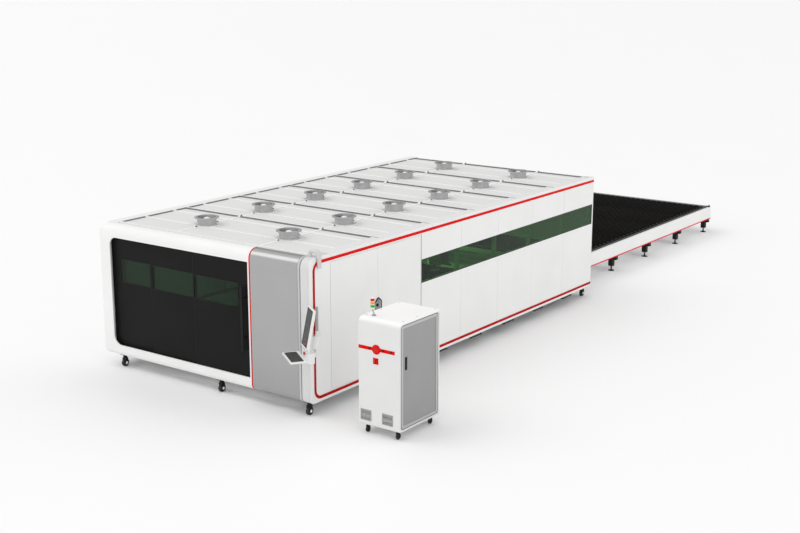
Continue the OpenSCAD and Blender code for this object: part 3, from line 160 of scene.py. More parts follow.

# %% [markdown]
# ## Two tones on one solid
# Some solids carry two tones: a lock plate on a side door, ribs on the roof sheet, the
# raised border of the cabinet door, ground rails above black ones. Some second tones are
# painted light and shade, such as the paler ribs and the greyer flat of the roof. In each the
# second tone begins at a fixed place on one axis, so a sharp Map Range on that Object axis
# makes the edge, and the same value can drive the metal share.

# %% Second tone beyond a place on one axis
def beyond(material, axis, start, end, colour, most=1.0, metal=None):
    tree = material.node_tree
    where = add(tree, "ShaderNodeTexCoord").outputs["Object"]
    along = add(tree, "ShaderNodeSeparateXYZ", {"Vector": where}).outputs[axis]
    share = add(tree, "ShaderNodeMapRange", {"Value": along},
                {"From Min": start, "From Max": end, "To Max": most}).outputs["Result"]
    shader = tree.nodes["Principled BSDF"]
    base = shader.inputs["Base Color"].links[0].from_socket
    mixed = add(tree, "ShaderNodeMix", {0: share, 6: base}, {7: linear(colour)}, data_type="RGBA")
    tree.links.new(mixed.outputs[2], shader.inputs["Base Color"])
    if metal is not None:
        rise = add(tree, "ShaderNodeMapRange", {"Value": share}, {"To Max": metal})
        tree.links.new(rise.outputs["Result"], shader.inputs["Metallic"])
    return material


print("a second tone follows one Object axis")

# %% [markdown]
# The housing comes first. The right wall's skin lies at one X, so a lock plate that stands
# proud of it and a wall's white edge are both told from it. The red trim holds three
# things on one solid, the side loop, the strip down the front and the strips on the table,
# and a tone that is wanted on one of them is set back beyond the next.

# %% Two tones on the housing
WALL_SKIN = 2.195
PLATE_BACK = WALL_SKIN + 0.0005
side_paint = house_white("white_coat_with_grey_plate")
beyond(side_paint, "X", PLATE_BACK, PLATE_BACK + 0.001, "#8d8f90")
dress(side_paint, "side_door_front", "side_door_rear")
# red trim: on the side below the top run a deeper red that is partly the paint and partly
# painted shade, and the strip down the front carries its red on the right half alone
TRIM_RED, DEEPER_RED_AND_SHADE, STRIP_WHITE = "#de0b07", "#b40b07", "#efefee"
LOOP_INSIDE, STRIP_MIDDLE, STRIP_WEST = 1.750, 1.0445, 1.000
trim_red = red_enamel.copy()
trim_red.name = "red_enamel_trim_with_painted_shade"
beyond(trim_red, "Z", 2.285, 2.255, DEEPER_RED_AND_SHADE)
for start, colour in ((LOOP_INSIDE, TRIM_RED), (STRIP_MIDDLE, STRIP_WHITE), (STRIP_WEST, TRIM_RED)):
    beyond(trim_red, "X", start, start - 0.001, colour)
dress(trim_red, "red_trim")
# cable arch: coated tube, a little greyer than the wall behind it
arch_coat = surface("light_grey_tube_coat", "#d4d4d3", "#cacac9", 200, (0.34, 0.46), 20, 0.03)
dress(arch_coat, "cable_arch")
# front panel: white, with a light grey strip right of the grey column, painted shade
# between the column and the corner post
front_powder_with_shade_strip = house_white("white_coat_with_painted_shade_strip")
dress(beyond(front_powder_with_shade_strip, "X", 1.970, 1.976, "#c2c2c1"), "front_fascia")
# console arm: white below, and the mast above it, which stands behind the monitor, is
# painted grey: painted shade
arm_coat_with_shaded_mast = surface("white_arm_with_painted_mast_shade", "#efefee", "#e6e6e5", 300, (0.36, 0.48), 20, 0.03)
dress(beyond(arm_coat_with_shaded_mast, "Z", 1.330, 1.336, "#a4a4a4"), "console_arm")
# corner post: a light grey tone on its rounded edge, painted shade, and white where it
# meets the wall
shaded_corner_powder = surface("corner_coat_with_painted_shade", "#d9d9d8", "#d1d1d0", 700, (0.36, 0.48), 30, 0.03)
dress(beyond(shaded_corner_powder, "X", 2.178, WALL_SKIN - 0.0005, "#f0f0ef"), "corner_post")
# the roof sheet is greyer on the flat and paler on the ribs: painted shade and a
# painted highlight that bring out the ribs
ROOF = 2.380
roof_powder_with_painted_relief = surface("white_powder_coat_with_painted_relief", "#e6e6e5", "#dcdcdb", 900, (0.48, 0.62), 30, 0.04)
dress(beyond(roof_powder_with_painted_relief, "Z", ROOF + 0.003, ROOF + 0.006, "#f2f2f1"), "roof_panel")
# the right wall folds over into the roof's border, which takes the sheet's greyer tone:
# painted shade
wall_powder_with_shaded_fold = house_white("white_coat_with_painted_shade_on_fold")
dress(beyond(wall_powder_with_shaded_fold, "Z", 2.396, 2.3985, "#e6e6e5"), "right_wall")

# %% [markdown]
# On the cabinet and inside the housing the places are read from the boxes of the solids,
# so that the edge of a tone stays on the edge of a form.

# %% Two tones on the cabinet, the signal tower and the rails
# cabinet: a slightly greyer white than the housing, paler on the flat top, a painted
# highlight where more light falls
cabinet_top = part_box("cabinet_shell")[1][2]
cabinet_white = surface("white_cabinet_coat", "#e4e4e3", "#dadad9", 700, (0.36, 0.48), 30, 0.03)
beyond(cabinet_white, "Z", cabinet_top - 0.060, cabinet_top - 0.004, "#f9f9f8")
dress(cabinet_white, "cabinet_shell")
# cabinet door: the border stands 5 mm proud of the panel
door_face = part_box("cabinet_door")[1][0]
cabinet_silver = surface("silver_cabinet_door", "#9f9f9f", "#969696", 700, (0.34, 0.42), 30, 0.03,
                         sockets={"Metallic": 0.5})
dress(beyond(cabinet_silver, "X", door_face - 0.004, door_face - 0.003, "#bcbcbc"), "cabinet_door")
# signal tower: bare stem below, white rings between the lenses
tower_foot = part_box("tower_lenses")[0][2]
tower_metal = surface("tower_stem_and_rings", "#a6a6a6", "#989898", 60, (0.36, 0.48), 10, 0.02)
dress(beyond(tower_metal, "Z", tower_foot - 0.030, tower_foot - 0.028, "#f0f0ee"), "tower_pole")
# rails: the guides on the bed are ground, the pallet tracks below them are black
ground_steel = surface("ground_rail_steel", "#191919", "#121212", 120, (0.26, 0.38), 12, 0.02,
                       stretch=(1, 0.05, 1))
dress(beyond(ground_steel, "Z", 0.740, 0.745, "#9a9c9e", 1.0, 0.9), "track_rails", "carriage")

# %% [markdown]
# ## Front door and laser-safe windows
# The sliding leaves are dark composite panels with a satin skin. Their panes are green
# acrylic that stops the laser's wavelength: deep green when the space behind is dark,
# clear enough to watch the work when it is lit. Full transmission with a tinted base gives
# that, and the front panes also take a darker tint than the side pane: painted shade on the
# front and painted light on the side. The mirrored room lays a grey veil over it, and a white
# studio is brighter than a workshop, so the index is set below acrylic's 1.49 to keep the
# veil as thin as it looks.

# %% Dark panels and green acrylic
door_skin = surface("satin_black_door_skin", "#1b1b1b", "#161616", 600, (0.36, 0.48), 30, 0.03,
                    sockets={"Specular IOR Level": 0.08})
dress(door_skin, "door_leaf_left", "door_leaf_mid", "door_leaf_right")


def acrylic(name, pale, deep, mirror):
    return surface(name, pale, deep, 900, (0.02, 0.05), 400, 0.02,
                   sockets={"Transmission Weight": 1.0, "IOR": 1.25, "Specular IOR Level": mirror})


# the front panes take a darker tint, painted shade; the side pane a lighter one, painted light
shaded_front_acrylic = acrylic("green_acrylic_front_painted_shade", "#36583a", "#2f4d33", 0.16)
dress(shaded_front_acrylic, "door_window_left", "door_window_mid", "door_window_right")
lit_side_acrylic = acrylic("green_acrylic_side_painted_light", "#4f9a49", "#458a40", 0.26)
dress(lit_side_acrylic, "right_window")

# %% [markdown]
# ## Bare and blackened metal
# The extraction collars are galvanised sheet: zinc crystals 10 to 20 mm across give a
# patchwork of slightly different greys, which a Voronoi cell pattern draws well. They are
# drawn 25 mm wide, because finer ones would not show.

# %% Zinc
SPANGLE_MM = 25
zinc = surface("galvanised_sheet", "#bebebf", "#a8a9aa", 60, (0.32, 0.46), 20, 0.03,
               sockets={"Metallic": 0.75})
tree = zinc.node_tree
where = add(tree, "ShaderNodeTexCoord").outputs["Object"]
crystal = add(tree, "ShaderNodeTexVoronoi", {"Vector": where}, {"Scale": 1000 / SPANGLE_MM})
shader = tree.nodes["Principled BSDF"]
base = shader.inputs["Base Color"].links[0].from_socket
value = add(tree, "ShaderNodeSeparateColor", {"Color": crystal.outputs["Color"]}).outputs["Red"]
spangle = add(tree, "ShaderNodeMapRange", {"Value": value}, {"To Min": 0.0, "To Max": 0.15})
frost = add(tree, "ShaderNodeMix", {0: spangle.outputs["Result"], 6: base},
            {7: linear("#d4d5d6")}, data_type="RGBA")
tree.links.new(frost.outputs[2], shader.inputs["Base Color"])
# the foot of each collar is white, a painted highlight for the lit edge of its flange
collar_zinc_with_lit_foot = zinc.copy()
collar_zinc_with_lit_foot.name = "galvanised_collar_with_painted_flange_highlight"
dress(beyond(collar_zinc_with_lit_foot, "Z", ROOF + 0.010, ROOF + 0.0085, "#efefee"), "exhaust_collars")

# %% [markdown]
# Frames, feet and pallets are black steel, and the cutting head is anodised. The beam has
# burnt the slats, so their tips are a little paler and browner than their feet.

# %% Black steel, the cutting head and burnt slats
black_steel = surface("black_painted_steel", "#1a1a1a", "#111111", 300, (0.42, 0.60), 18, 0.06,
                      sockets={"Specular IOR Level": 0.2})
dress(black_steel, "base_brackets", "levelling_feet", "door_handle", "table_legs",
      "pallet_upper_frame", "pallet_lower_frame", "cabinet_forks")
head_metal = surface("anodised_head", "#c3c6c8", "#aeb2b5", 90, (0.28, 0.40), 10, 0.02,
                     sockets={"Metallic": 0.6})
dress(head_metal, "cutting_head", "laser_source")
BURNT_DEPTH = 0.04
for level in ("upper", "lower"):
    slats = "pallet_" + level + "_slats"
    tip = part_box(slats)[1][2]
    burnt = surface("burnt_slat_steel_" + level, "#191817", "#100f0f", 70, (0.55, 0.75), 12, 0.15,
                    sockets={"Specular IOR Level": 0.15})
    dress(beyond(burnt, "Z", tip - BURNT_DEPTH, tip, "#2e2b28", 0.4), slats)

# %% [markdown]
# ## Plastics, rubber and the signal lenses
# Moulded plastics differ by gloss more than by colour. The three lenses of the signal
# tower are one solid, so the colour follows Object Z in three constant steps of a ramp.

# %% Plastics and rubber
white_plastic = surface("moulded_white_plastic", "#efefed", "#e6e6e3", 200, (0.34, 0.46), 15, 0.03)
dress(white_plastic, "monitor_case", "keyboard_tray")
black_plastic = surface("moulded_black_plastic", "#151515", "#0e0e0e", 120, (0.36, 0.50), 10, 0.03,
                        sockets={"Specular IOR Level": 0.2})
dress(black_plastic, "side_latch", "cabinet_handle", "button_left", "button_middle", "button_right")
red_plastic = surface("moulded_red_plastic", "#cf1712", "#b9110d", 120, (0.28, 0.40), 10, 0.02)
dress(red_plastic, "console_estop", "main_switch")
screen_glass = surface("monitor_glass", "#4d4d4d", "#444444", 500, (0.24, 0.34), 60, 0.01,
                       sockets={"Specular IOR Level": 0.12})
dress(screen_glass, "monitor_screen")
key_plastic = surface("dark_key_caps", "#4c4c4c", "#363636", 60, (0.46, 0.60), 6, 0.04)
dress(key_plastic, "keyboard_keys")
tyre_rubber = surface("caster_tyre_rubber", "#2d2d2d", "#202020", 60, (0.60, 0.78), 6, 0.08)
dress(tyre_rubber, "base_wheels", "wheel_front_left", "wheel_front_right", "wheel_rear_left",
      "wheel_rear_right")
seal_rubber = surface("black_seal_rubber", "#2a2a2a", "#1e1e1e", 80, (0.58, 0.74), 8, 0.05,
                      sockets={"Specular IOR Level": 0.2})
# grey for strips that stand in for shade on the roof and beside the rear access door: painted shade
painted_shade_grey = surface("grey_strip_of_painted_shade", "#7f7f7f", "#747474", 80, (0.58, 0.74), 8, 0.05)

# %% Signal lenses by height
AMBER_FROM, RED_FROM = 0.33, 0.66
lens_plastic = surface("signal_lens_plastic", "#ffffff", "#f2f2f2", 60, (0.16, 0.24), 8, 0.02,
                       sockets={"Specular IOR Level": 0.2})
tree = lens_plastic.node_tree
where = add(tree, "ShaderNodeTexCoord").outputs["Object"]
height = add(tree, "ShaderNodeSeparateXYZ", {"Vector": where}).outputs["Z"]
low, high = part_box("tower_lenses")
step = add(tree, "ShaderNodeMapRange", {"Value": height}, {"From Min": low[2], "From Max": high[2]})
ramp = add(tree, "ShaderNodeValToRGB", {"Fac": step.outputs["Result"]})
ramp.color_ramp.interpolation = "CONSTANT"
ramp.color_ramp.elements[0].color = linear("#12b526")
ramp.color_ramp.elements[1].position = RED_FROM
ramp.color_ramp.elements[1].color = linear("#cf1219")
ramp.color_ramp.elements.new(AMBER_FROM).color = linear("#e5a700")
tree.links.new(ramp.outputs["Color"], tree.nodes["Principled BSDF"].inputs["Base Color"])
dress(lens_plastic, "tower_lenses")

# %% [markdown]
# ## Helpers for small parts
# Nearly every small part is a bevelled block or a turned form. A block starts as a cube
# and gets its edges broken, because a real edge always catches a line of light. A turned
# form is a half outline spun about its axis, which closes it with no seam once the last
# ring merges with the first.

# %% Block, turned form and finished piece
def block(bm, low, high, edge=0.001, turn=Matrix()):
    size = Vector(high) - Vector(low)
    middle = (Vector(high) + Vector(low)) / 2
    placed = turn @ Matrix.Translation(middle) @ Matrix.Diagonal(size).to_4x4()
    made = bmesh.ops.create_cube(bm, size=1.0, matrix=placed)
    edges = list({e for v in made["verts"] for e in v.link_edges})
    bmesh.ops.bevel(bm, geom=edges, offset=edge, offset_type="OFFSET", affect="EDGES", segments=2,
                    profile=0.5, material=-1)


def turned(bm, outline, place, steps=24):
    before = set(bm.verts)
    rim = [bm.verts.new((r, 0.0, z)) for r, z in outline]
    lines = [bm.edges.new(pair) for pair in zip(rim, rim[1:])]
    bmesh.ops.spin(bm, geom=rim + lines, cent=(0, 0, 0), axis=(0, 0, 1), angle=2 * pi, steps=steps,
                   use_merge=True, use_duplicate=False)
    fresh = [v for v in bm.verts if v not in before]
    bmesh.ops.remove_doubles(bm, verts=fresh, dist=1e-6)
    fresh = [v for v in bm.verts if v not in before]
    bmesh.ops.transform(bm, matrix=place, verts=fresh)


def piece(name, bm, material, body):
    bmesh.ops.recalc_face_normals(bm, faces=bm.faces)
    mesh = bpy.data.meshes.new(name)
    bm.to_mesh(mesh)
    bm.free()
    mesh.shade_smooth()
    mesh.set_sharp_from_angle(angle=radians(32))
    mesh.materials.append(material)
    made = bpy.data.objects.new(name, mesh)
    scene.collection.objects.link(made)
    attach(made, body)
    print(name, "has", len(mesh.polygons), "faces and rides on", body)


at = Matrix.Translation
print("helpers ready")

# %% [markdown]
# ## Roof
# Twelve collars stand on the roof in two rows. Each has a raised white ring in the sheet
# round its flange and a fan in its throat: a domed motor with pitched blades. All are
# turned or repeated forms, so one loop places them.

# %% Where things stand on the roof
FRONT = -4.315
REAR = -FRONT
COLLAR_X = (-0.750, 0.985)
COLLAR_Y = [FRONT + 0.985 + 1.361 * i for i in range(6)]
SEAM_FIRST, SEAM_STEP = 1.745, 1.353
SEAM_Y = [FRONT + SEAM_FIRST + SEAM_STEP * i for i in range(6)]
SEAM_TOP = ROOF + 0.026
BAR_TOP = ROOF + 0.009
FOLD_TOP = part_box("right_wall")[1][2]
collars = [(x, y) for x in COLLAR_X for y in COLLAR_Y]
print("collars:", len(collars), "seams:", len(SEAM_Y))

# %% Fans and rings
HUB = [(0.0, 0.098), (0.022, 0.096), (0.042, 0.088), (0.054, 0.072), (0.056, 0.0)]
RING = [(0.193, -0.002), (0.195, 0.006), (0.202, 0.010), (0.211, 0.006), (0.214, -0.002)]
HUB_FOOT, BLADE_HEIGHT = ROOF + 0.0295, ROOF + 0.086
BLADES, BLADE_PITCH = 6, radians(24)
BLADE_LOW, BLADE_HIGH = (0.050, -0.026, -0.0012), (0.138, 0.026, 0.0012)
fans, rings = bmesh.new(), bmesh.new()
for x, y in collars:
    turned(fans, HUB, at((x, y, HUB_FOOT)), 20)
    turned(rings, RING, at((x, y, ROOF)), 48)
    for k in range(BLADES):
        spread = at((x, y, BLADE_HEIGHT)) @ Matrix.Rotation(k * 2 * pi / BLADES, 4, "Z")
        pitched = spread @ Matrix.Rotation(BLADE_PITCH, 4, "X")
        block(fans, BLADE_LOW, BLADE_HIGH, 0.0008, pitched)
piece("collar_fans", fans, white_plastic, "machine")
piece("roof_rings", rings, white_powder, "machine")

# %% [markdown]
# The standing seams show a grey strip on their front face that runs on over the folded
# edge of the right wall, and a grey strip runs along the left border, broken where a rib
# meets it. These strips stand in for the shade along the seams and the border: painted shade.

# %% Seam joints and border strips
SHEET_HALF, BAR_HALF = 2.000, 0.026
FOLD_WEST, FOLD_EAST = 2.012, 2.135
BORDER_WEST, BORDER_EAST = -2.010, -1.994
RIB_FIRST, SWAGE_AFTER_SEAM = 0.260, (0.435, 1.073)
RIB_WIDE, RIB_GAP = 0.075, 0.012
seam_shade_strips = bmesh.new()
bays = [-SHEET_HALF] + [x + side for x in COLLAR_X for side in (-BAR_HALF, BAR_HALF)] + [SHEET_HALF]
for y in SEAM_Y:
    for west, east in zip(bays[0::2], bays[1::2]):
        block(seam_shade_strips, (west, y - 0.008, ROOF + 0.001), (east, y + 0.001, SEAM_TOP - 0.002))
    block(seam_shade_strips, (FOLD_WEST, y - 0.008, FOLD_TOP - 0.001), (FOLD_EAST, y + 0.004, FOLD_TOP + 0.003))
swages = [FRONT + SEAM_FIRST + SEAM_STEP * i + d for i in range(-1, 5) for d in SWAGE_AFTER_SEAM]
ribs = [y for y in sorted([FRONT + RIB_FIRST] + SEAM_Y + swages) if y < REAR - 0.1]
for near, far in zip(ribs, ribs[1:] + [REAR]):
    block(seam_shade_strips, (BORDER_WEST, near + RIB_WIDE, ROOF + 0.001),
          (BORDER_EAST, far - RIB_GAP, ROOF + 0.019))
piece("roof_seam_shade_strips", seam_shade_strips, painted_shade_grey, "machine")

# %% [markdown]
# Dark bolt heads hold the bars down on both sides of every collar and at every crossing of
# a bar and a seam. A hexagon head is a turned form with six steps.

# %% Roof bolts
BOLT_HEAD = [(0.0, 0.011), (0.012, 0.011), (0.0145, 0.009), (0.0145, 0.0)]
BESIDE_COLLAR = 0.245
BESIDE_BAR, BEHIND_SEAM = 0.036, 0.013
bolts = bmesh.new()
for x, y in collars:
    for d in (-BESIDE_COLLAR, BESIDE_COLLAR):
        turned(bolts, BOLT_HEAD, at((x, y + d, BAR_TOP)), 6)
for x in COLLAR_X:
    for y in SEAM_Y:
        turned(bolts, BOLT_HEAD, at((x + BESIDE_BAR, y + BEHIND_SEAM, SEAM_TOP)), 6)
piece("roof_bolts", bolts, black_plastic, "machine")

# %% [markdown]
# ## Seals round the panes
# A pane sits in its panel with a rubber profile round it. Four strips make the frame, and
# a sliding leaf has one more down its leading edge.
# The strip on a sliding leaf stands only 1.5 mm proud, because the next leaf runs 4 mm
# in front of it.

# %% Pane seals
STRIP_EDGE = 0.0006


def pane_frame(bm, low, high, wide, across):
    (x0, y0, z0), (x1, y1, z1) = low, high
    if across == "x":
        block(bm, (x0 - wide, y0, z0 - wide), (x1 + wide, y1, z0), STRIP_EDGE)
        block(bm, (x0 - wide, y0, z1), (x1 + wide, y1, z1 + wide), STRIP_EDGE)
        block(bm, (x0 - wide, y0, z0), (x0, y1, z1), STRIP_EDGE)
        block(bm, (x1, y0, z0), (x1 + wide, y1, z1), STRIP_EDGE)
    else:
        block(bm, (x0, y0 - wide, z0 - wide), (x1, y1 + wide, z0), STRIP_EDGE)
        block(bm, (x0, y0 - wide, z1), (x1, y1 + wide, z1 + wide), STRIP_EDGE)
        block(bm, (x0, y0 - wide, z0), (x1, y0, z1), STRIP_EDGE)
        block(bm, (x0, y1, z0), (x1, y1 + wide, z1), STRIP_EDGE)


LEAF_PROUD, LEAF_SEAL, SIDE_SEAL = 0.0015, 0.004, 0.008
for leaf, body in (("left", "machine"), ("mid", "front_door_mid"), ("right", "front_door_right")):
    low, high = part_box("door_window_" + leaf)
    (west, skin, sill), (_, _, top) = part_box("door_leaf_" + leaf)
    proud = skin - LEAF_PROUD
    seal = bmesh.new()
    pane_frame(seal, (low[0], proud, low[2]), (high[0], skin + 0.004, high[2]), LEAF_SEAL, "x")
    if leaf != "left":
        block(seal, (west, proud, sill + 0.01), (west + 0.006, skin + 0.002, top - 0.01), STRIP_EDGE)
    piece("pane_seal_" + leaf, seal, seal_rubber, body)

low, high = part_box("right_window")
seal = bmesh.new()
pane_frame(seal, (high[0], low[1] + SIDE_SEAL, low[2] + SIDE_SEAL),
           (high[0] + 0.004, high[1] - SIDE_SEAL, high[2] - SIDE_SEAL), SIDE_SEAL, "y")
piece("pane_seal_side", seal, seal_rubber, "machine")

# %% [markdown]
# The door opening of the front panel has generously rounded corners on its left side. The
# solid has a smaller round there, so a flat fillet fills each corner up to the larger one:
# a corner point and an arc, filled as one face and extruded through the sheet.

# %% Fillets in the corners of the door opening
DOOR_WEST, DOOR_SILL, DOOR_HEAD = -1.975, 0.404, 2.200
HEAD_ROUND, SILL_ROUND = 0.140, 0.160
FILLET_FACE, FILLET_DEEP, FILLET_LAP, ARC_STEPS = FRONT + 0.0008, 0.016, 0.004, 12
sweep = [radians(90 * k / ARC_STEPS) for k in range(ARC_STEPS + 1)]
fillets = bmesh.new()
for z, up, radius in ((DOOR_HEAD, 1, HEAD_ROUND), (DOOR_SILL, -1, SILL_ROUND)):
    corner = [(DOOR_WEST - FILLET_LAP, z + up * FILLET_LAP)]
    arc = [(DOOR_WEST + radius - radius * sin(a), z - up * radius + up * radius * cos(a))
           for a in sweep]
    rim = [fillets.verts.new((x, FILLET_FACE, h)) for x, h in corner + arc]
    face = fillets.faces.new(rim)
    grown = bmesh.ops.extrude_face_region(fillets, geom=[face])
    moved = [v for v in grown["geom"] if isinstance(v, bmesh.types.BMVert)]
    bmesh.ops.translate(fillets, vec=(0, FILLET_DEEP, 0), verts=moved)
piece("door_corner_fillets", fillets, front_powder_with_shade_strip, "machine")

# %% [markdown]
# A grey strip lies on the wall along the joint behind the rear access door and stands in
# for the shade in that gap: painted shade. It sits on the wall, so the door swings clear of it.

# %% Joint strip behind the rear access door
JOINT_SILL, JOINT_TOP = 0.320, 2.285
rear_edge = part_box("side_door_rear")[1][1]
joint = bmesh.new()
block(joint, (WALL_SKIN - 0.0005, rear_edge + 0.005, JOINT_SILL),
      (WALL_SKIN + 0.001, rear_edge + 0.017, JOINT_TOP), 0.0004)
piece("wall_gap_shade_strip", joint, painted_shade_grey, "machine")

# %% [markdown]
# ## Lock plate edges
# The lock plates have a dark edge on the gable and down the rear side. The strip on the
# gable is a straight block that one matrix turns to the fall of the gable.

# %% Dark edges of the lock plates
DOOR_SEAM = FRONT + 1.638
APEX, EAVES, PLATE_SILL, PLATE_HALF = 1.490, 1.428, 1.300, 0.080
PLATE_FACE, EDGING_HALF = WALL_SKIN + 0.015, 0.008
fall = atan2(APEX - EAVES, PLATE_HALF)
slope = hypot(APEX - EAVES, PLATE_HALF)
for body, side in (("access_front", -1), ("access_rear", 1)):
    edging = bmesh.new()
    heading = -fall if side > 0 else pi + fall
    down = at((0, DOOR_SEAM + side * 0.003, APEX - 0.003)) @ Matrix.Rotation(heading, 4, "X")
    block(edging, (PLATE_BACK, 0.0, -EDGING_HALF), (PLATE_FACE, slope - 0.006, EDGING_HALF),
          0.0008, down)
    if side > 0:
        outer = DOOR_SEAM + PLATE_HALF - 0.004
        block(edging, (PLATE_BACK, outer - EDGING_HALF, PLATE_SILL),
              (PLATE_FACE, outer + EDGING_HALF, EAVES + 0.002), 0.0008)
    piece("lock_plate_edge_" + body, edging, black_plastic, body)

# %% [markdown]
# ## Operator console
# The monitor has a dark border inside its white case, a short red mark at the foot of the
# screen and a vented back. The pieces are built upright in the monitor's own axes and
# turned into place with one matrix: the console faces 36 degrees off and leans 11 back.

# %% Monitor border, mark and back
MONITOR_FOOT = (2.2998, -4.4884, 1.18)
FACES_OFF, LEANS_BACK = radians(-36), radians(-11)
HALF_WIDE, FOOT, HEAD, RIM = 0.1475, 0.001, 0.5430, 0.018
RIM_FACE, RIM_BACK, MARK_BACK = -0.0530, -0.0510, -0.0515
SLOTS, SLOT_FIRST, SLOT_STEP, SLOT_TALL = 9, 0.330, 0.013, 0.006
monitor_axes = (at(MONITOR_FOOT) @ Matrix.Rotation(FACES_OFF, 4, "Z")
                @ Matrix.Rotation(LEANS_BACK, 4, "X"))
border = bmesh.new()
for (west, foot), (east, head) in (((-HALF_WIDE, FOOT), (HALF_WIDE, FOOT + RIM)),
                                   ((-HALF_WIDE, HEAD - RIM), (HALF_WIDE, HEAD)),
                                   ((-HALF_WIDE, FOOT + RIM), (-HALF_WIDE + RIM, HEAD - RIM)),
                                   ((HALF_WIDE - RIM, FOOT + RIM), (HALF_WIDE, HEAD - RIM))):
    block(border, (west, RIM_FACE, foot), (east, RIM_BACK, head), 0.0005, monitor_axes)
piece("monitor_border", border, black_plastic, "monitor")
mark = bmesh.new()
block(mark, (-0.060, RIM_FACE, 0.024), (0.060, MARK_BACK, 0.038), 0.0005, monitor_axes)
piece("monitor_mark", mark, red_plastic, "monitor")
back = bmesh.new()
block(back, (-0.110, -0.0170, 0.140), (0.110, 0.0060, 0.470), 0.005, monitor_axes)
piece("monitor_back", back, white_plastic, "monitor")
slots = bmesh.new()
for k in range(SLOTS):
    foot = SLOT_FIRST + SLOT_STEP * k
    block(slots, (-0.080, 0.0055, foot), (0.080, 0.0068, foot + SLOT_TALL), 0.0005, monitor_axes)
piece("monitor_slots", slots, black_plastic, "monitor")

# %% [markdown]
# ## Control cabinet
# Two grey louvred plates cover the vents. A louvre is a thin blade tilted 35 degrees inside
# a small frame.

# %% Vent plates
(CAB_WEST, CAB_FRONT, CAB_FOOT), (CAB_EAST, CAB_REAR, CAB_TOP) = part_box("cabinet_shell")
VENT_WEST, VENT_FOOT, VENT_HEAD, VENT_RIM = (0.038, 0.415), 0.220, 0.358, 0.012
LOUVRES, LOUVRE_FIRST, LOUVRE_STEP, LOUVRE_TILT = 7, 0.232, 0.0195, radians(35)
vents = bmesh.new()
for west in [CAB_WEST + x for x in VENT_WEST]:
    pane_frame(vents, (west + 0.006, CAB_FRONT - 0.006, VENT_FOOT),
               (west + 0.170, CAB_FRONT + 0.001, VENT_HEAD), VENT_RIM, "x")
    for k in range(LOUVRES):
        middle = (west + 0.088, CAB_FRONT - 0.002, LOUVRE_FIRST + LOUVRE_STEP * k)
        tilted = at(middle) @ Matrix.Rotation(LOUVRE_TILT, 4, "X")
        block(vents, (-0.082, -0.001, -0.011), (0.082, 0.001, 0.011), 0.0005, tilted)
piece("cabinet_vents", vents, grey_powder, "machine")

# %% [markdown]
# A duller boss sits in the red disc, and zinc screws hold the top. Both are turned forms:
# the boss is spun upright and then laid with its axis to the front.

# %% Disc boss and top screws
BOSS = [(0.0, 0.004), (0.036, 0.004), (0.042, 0.002), (0.043, -0.001)]
BOSS_EAST, BOSS_HEIGHT = 0.312, 1.283
boss_red = surface("dull_red_enamel", "#c9211f", "#bd1b19", 300, (0.36, 0.46), 20, 0.02,
                   sockets={"Specular IOR Level": 0.2})
disc_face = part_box("cabinet_trim")[0][1]
to_front = Matrix.Rotation(radians(90), 4, "X")
boss = bmesh.new()
turned(boss, BOSS, at((CAB_WEST + BOSS_EAST, disc_face + 0.001, BOSS_HEIGHT)) @ to_front, 40)
piece("disc_boss", boss, boss_red, "machine")

PAN_HEAD = [(0.0, 0.005), (0.006, 0.0045), (0.010, 0.0025), (0.011, 0.0)]
screws = bmesh.new()
for x in (CAB_WEST + 0.042, CAB_EAST - 0.045):
    for y in (CAB_FRONT + 0.145, CAB_FRONT + 0.480, CAB_REAR - 0.045):
        turned(screws, PAN_HEAD, at((x, y, CAB_TOP)), 16)
piece("cabinet_screws", screws, zinc, "machine")

# %% [markdown]
# A dark gasket band shows round the cabinet door, drawn wide enough that it also stands in
# for the shade in the narrow gap round the door: partly painted shade. It follows the door's
# rounded corners, so it is a closed band of quads between four outlines, an outer and an
# inner pair, rather than four strips. A black plate frames the recess of the swing handle.

# %% Door gasket and handle plate
def outline(low, high, radius, steps=8):
    points = []
    corners = ((high[0], high[1]), (low[0], high[1]), (low[0], low[1]), (high[0], low[1]))
    for k, (y, z) in enumerate(corners):
        y -= radius * (1 if k in (0, 3) else -1)
        z -= radius * (1 if k in (0, 1) else -1)
        turns = [radians(90 * k + 90 * step / steps) for step in range(steps + 1)]
        points += [(y + radius * cos(turn), z + radius * sin(turn)) for turn in turns]
    return points


DOOR_ROUND, DOOR_INSET, GASKET_WIDE = 0.056, 0.034, 0.007
(_, near, _), (face, far, _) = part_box("cabinet_door")
sill, top = CAB_FOOT + DOOR_INSET, CAB_TOP - DOOR_INSET
inside, outside = face - 0.002, face + 0.001
gasket = bmesh.new()
loops = []
for inset, x in ((0.0, inside), (0.0, outside), (GASKET_WIDE, outside), (GASKET_WIDE, inside)):
    path = outline((near + inset, sill + inset), (far - inset, top - inset), DOOR_ROUND - inset)
    loops.append([gasket.verts.new((x, y, z)) for y, z in path])
for first, second in zip(loops, loops[1:] + loops[:1]):
    for k in range(len(first)):
        gasket.faces.new((first[k - 1], first[k], second[k], second[k - 1]))
piece("cabinet_door_gasket_and_gap_shade", gasket, seal_rubber, "cabinet_front_door")

RECESS_HALF, PLATE_RIM = 0.0155, 0.012
low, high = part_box("cabinet_handle")
middle = (low[1] + high[1]) / 2
escutcheon = bmesh.new()
pane_frame(escutcheon, (face - 0.006, middle - RECESS_HALF, low[2] + 0.001),
           (face - 0.0035, middle + RECESS_HALF, high[2] - 0.001), PLATE_RIM, "y")
piece("cabinet_handle_plate", escutcheon, black_plastic, "cabinet_front_door")

# %% [markdown]
# ## Feet of the table
# Every levelling foot has a lock nut under its leg. A nut is a turned form with six steps.

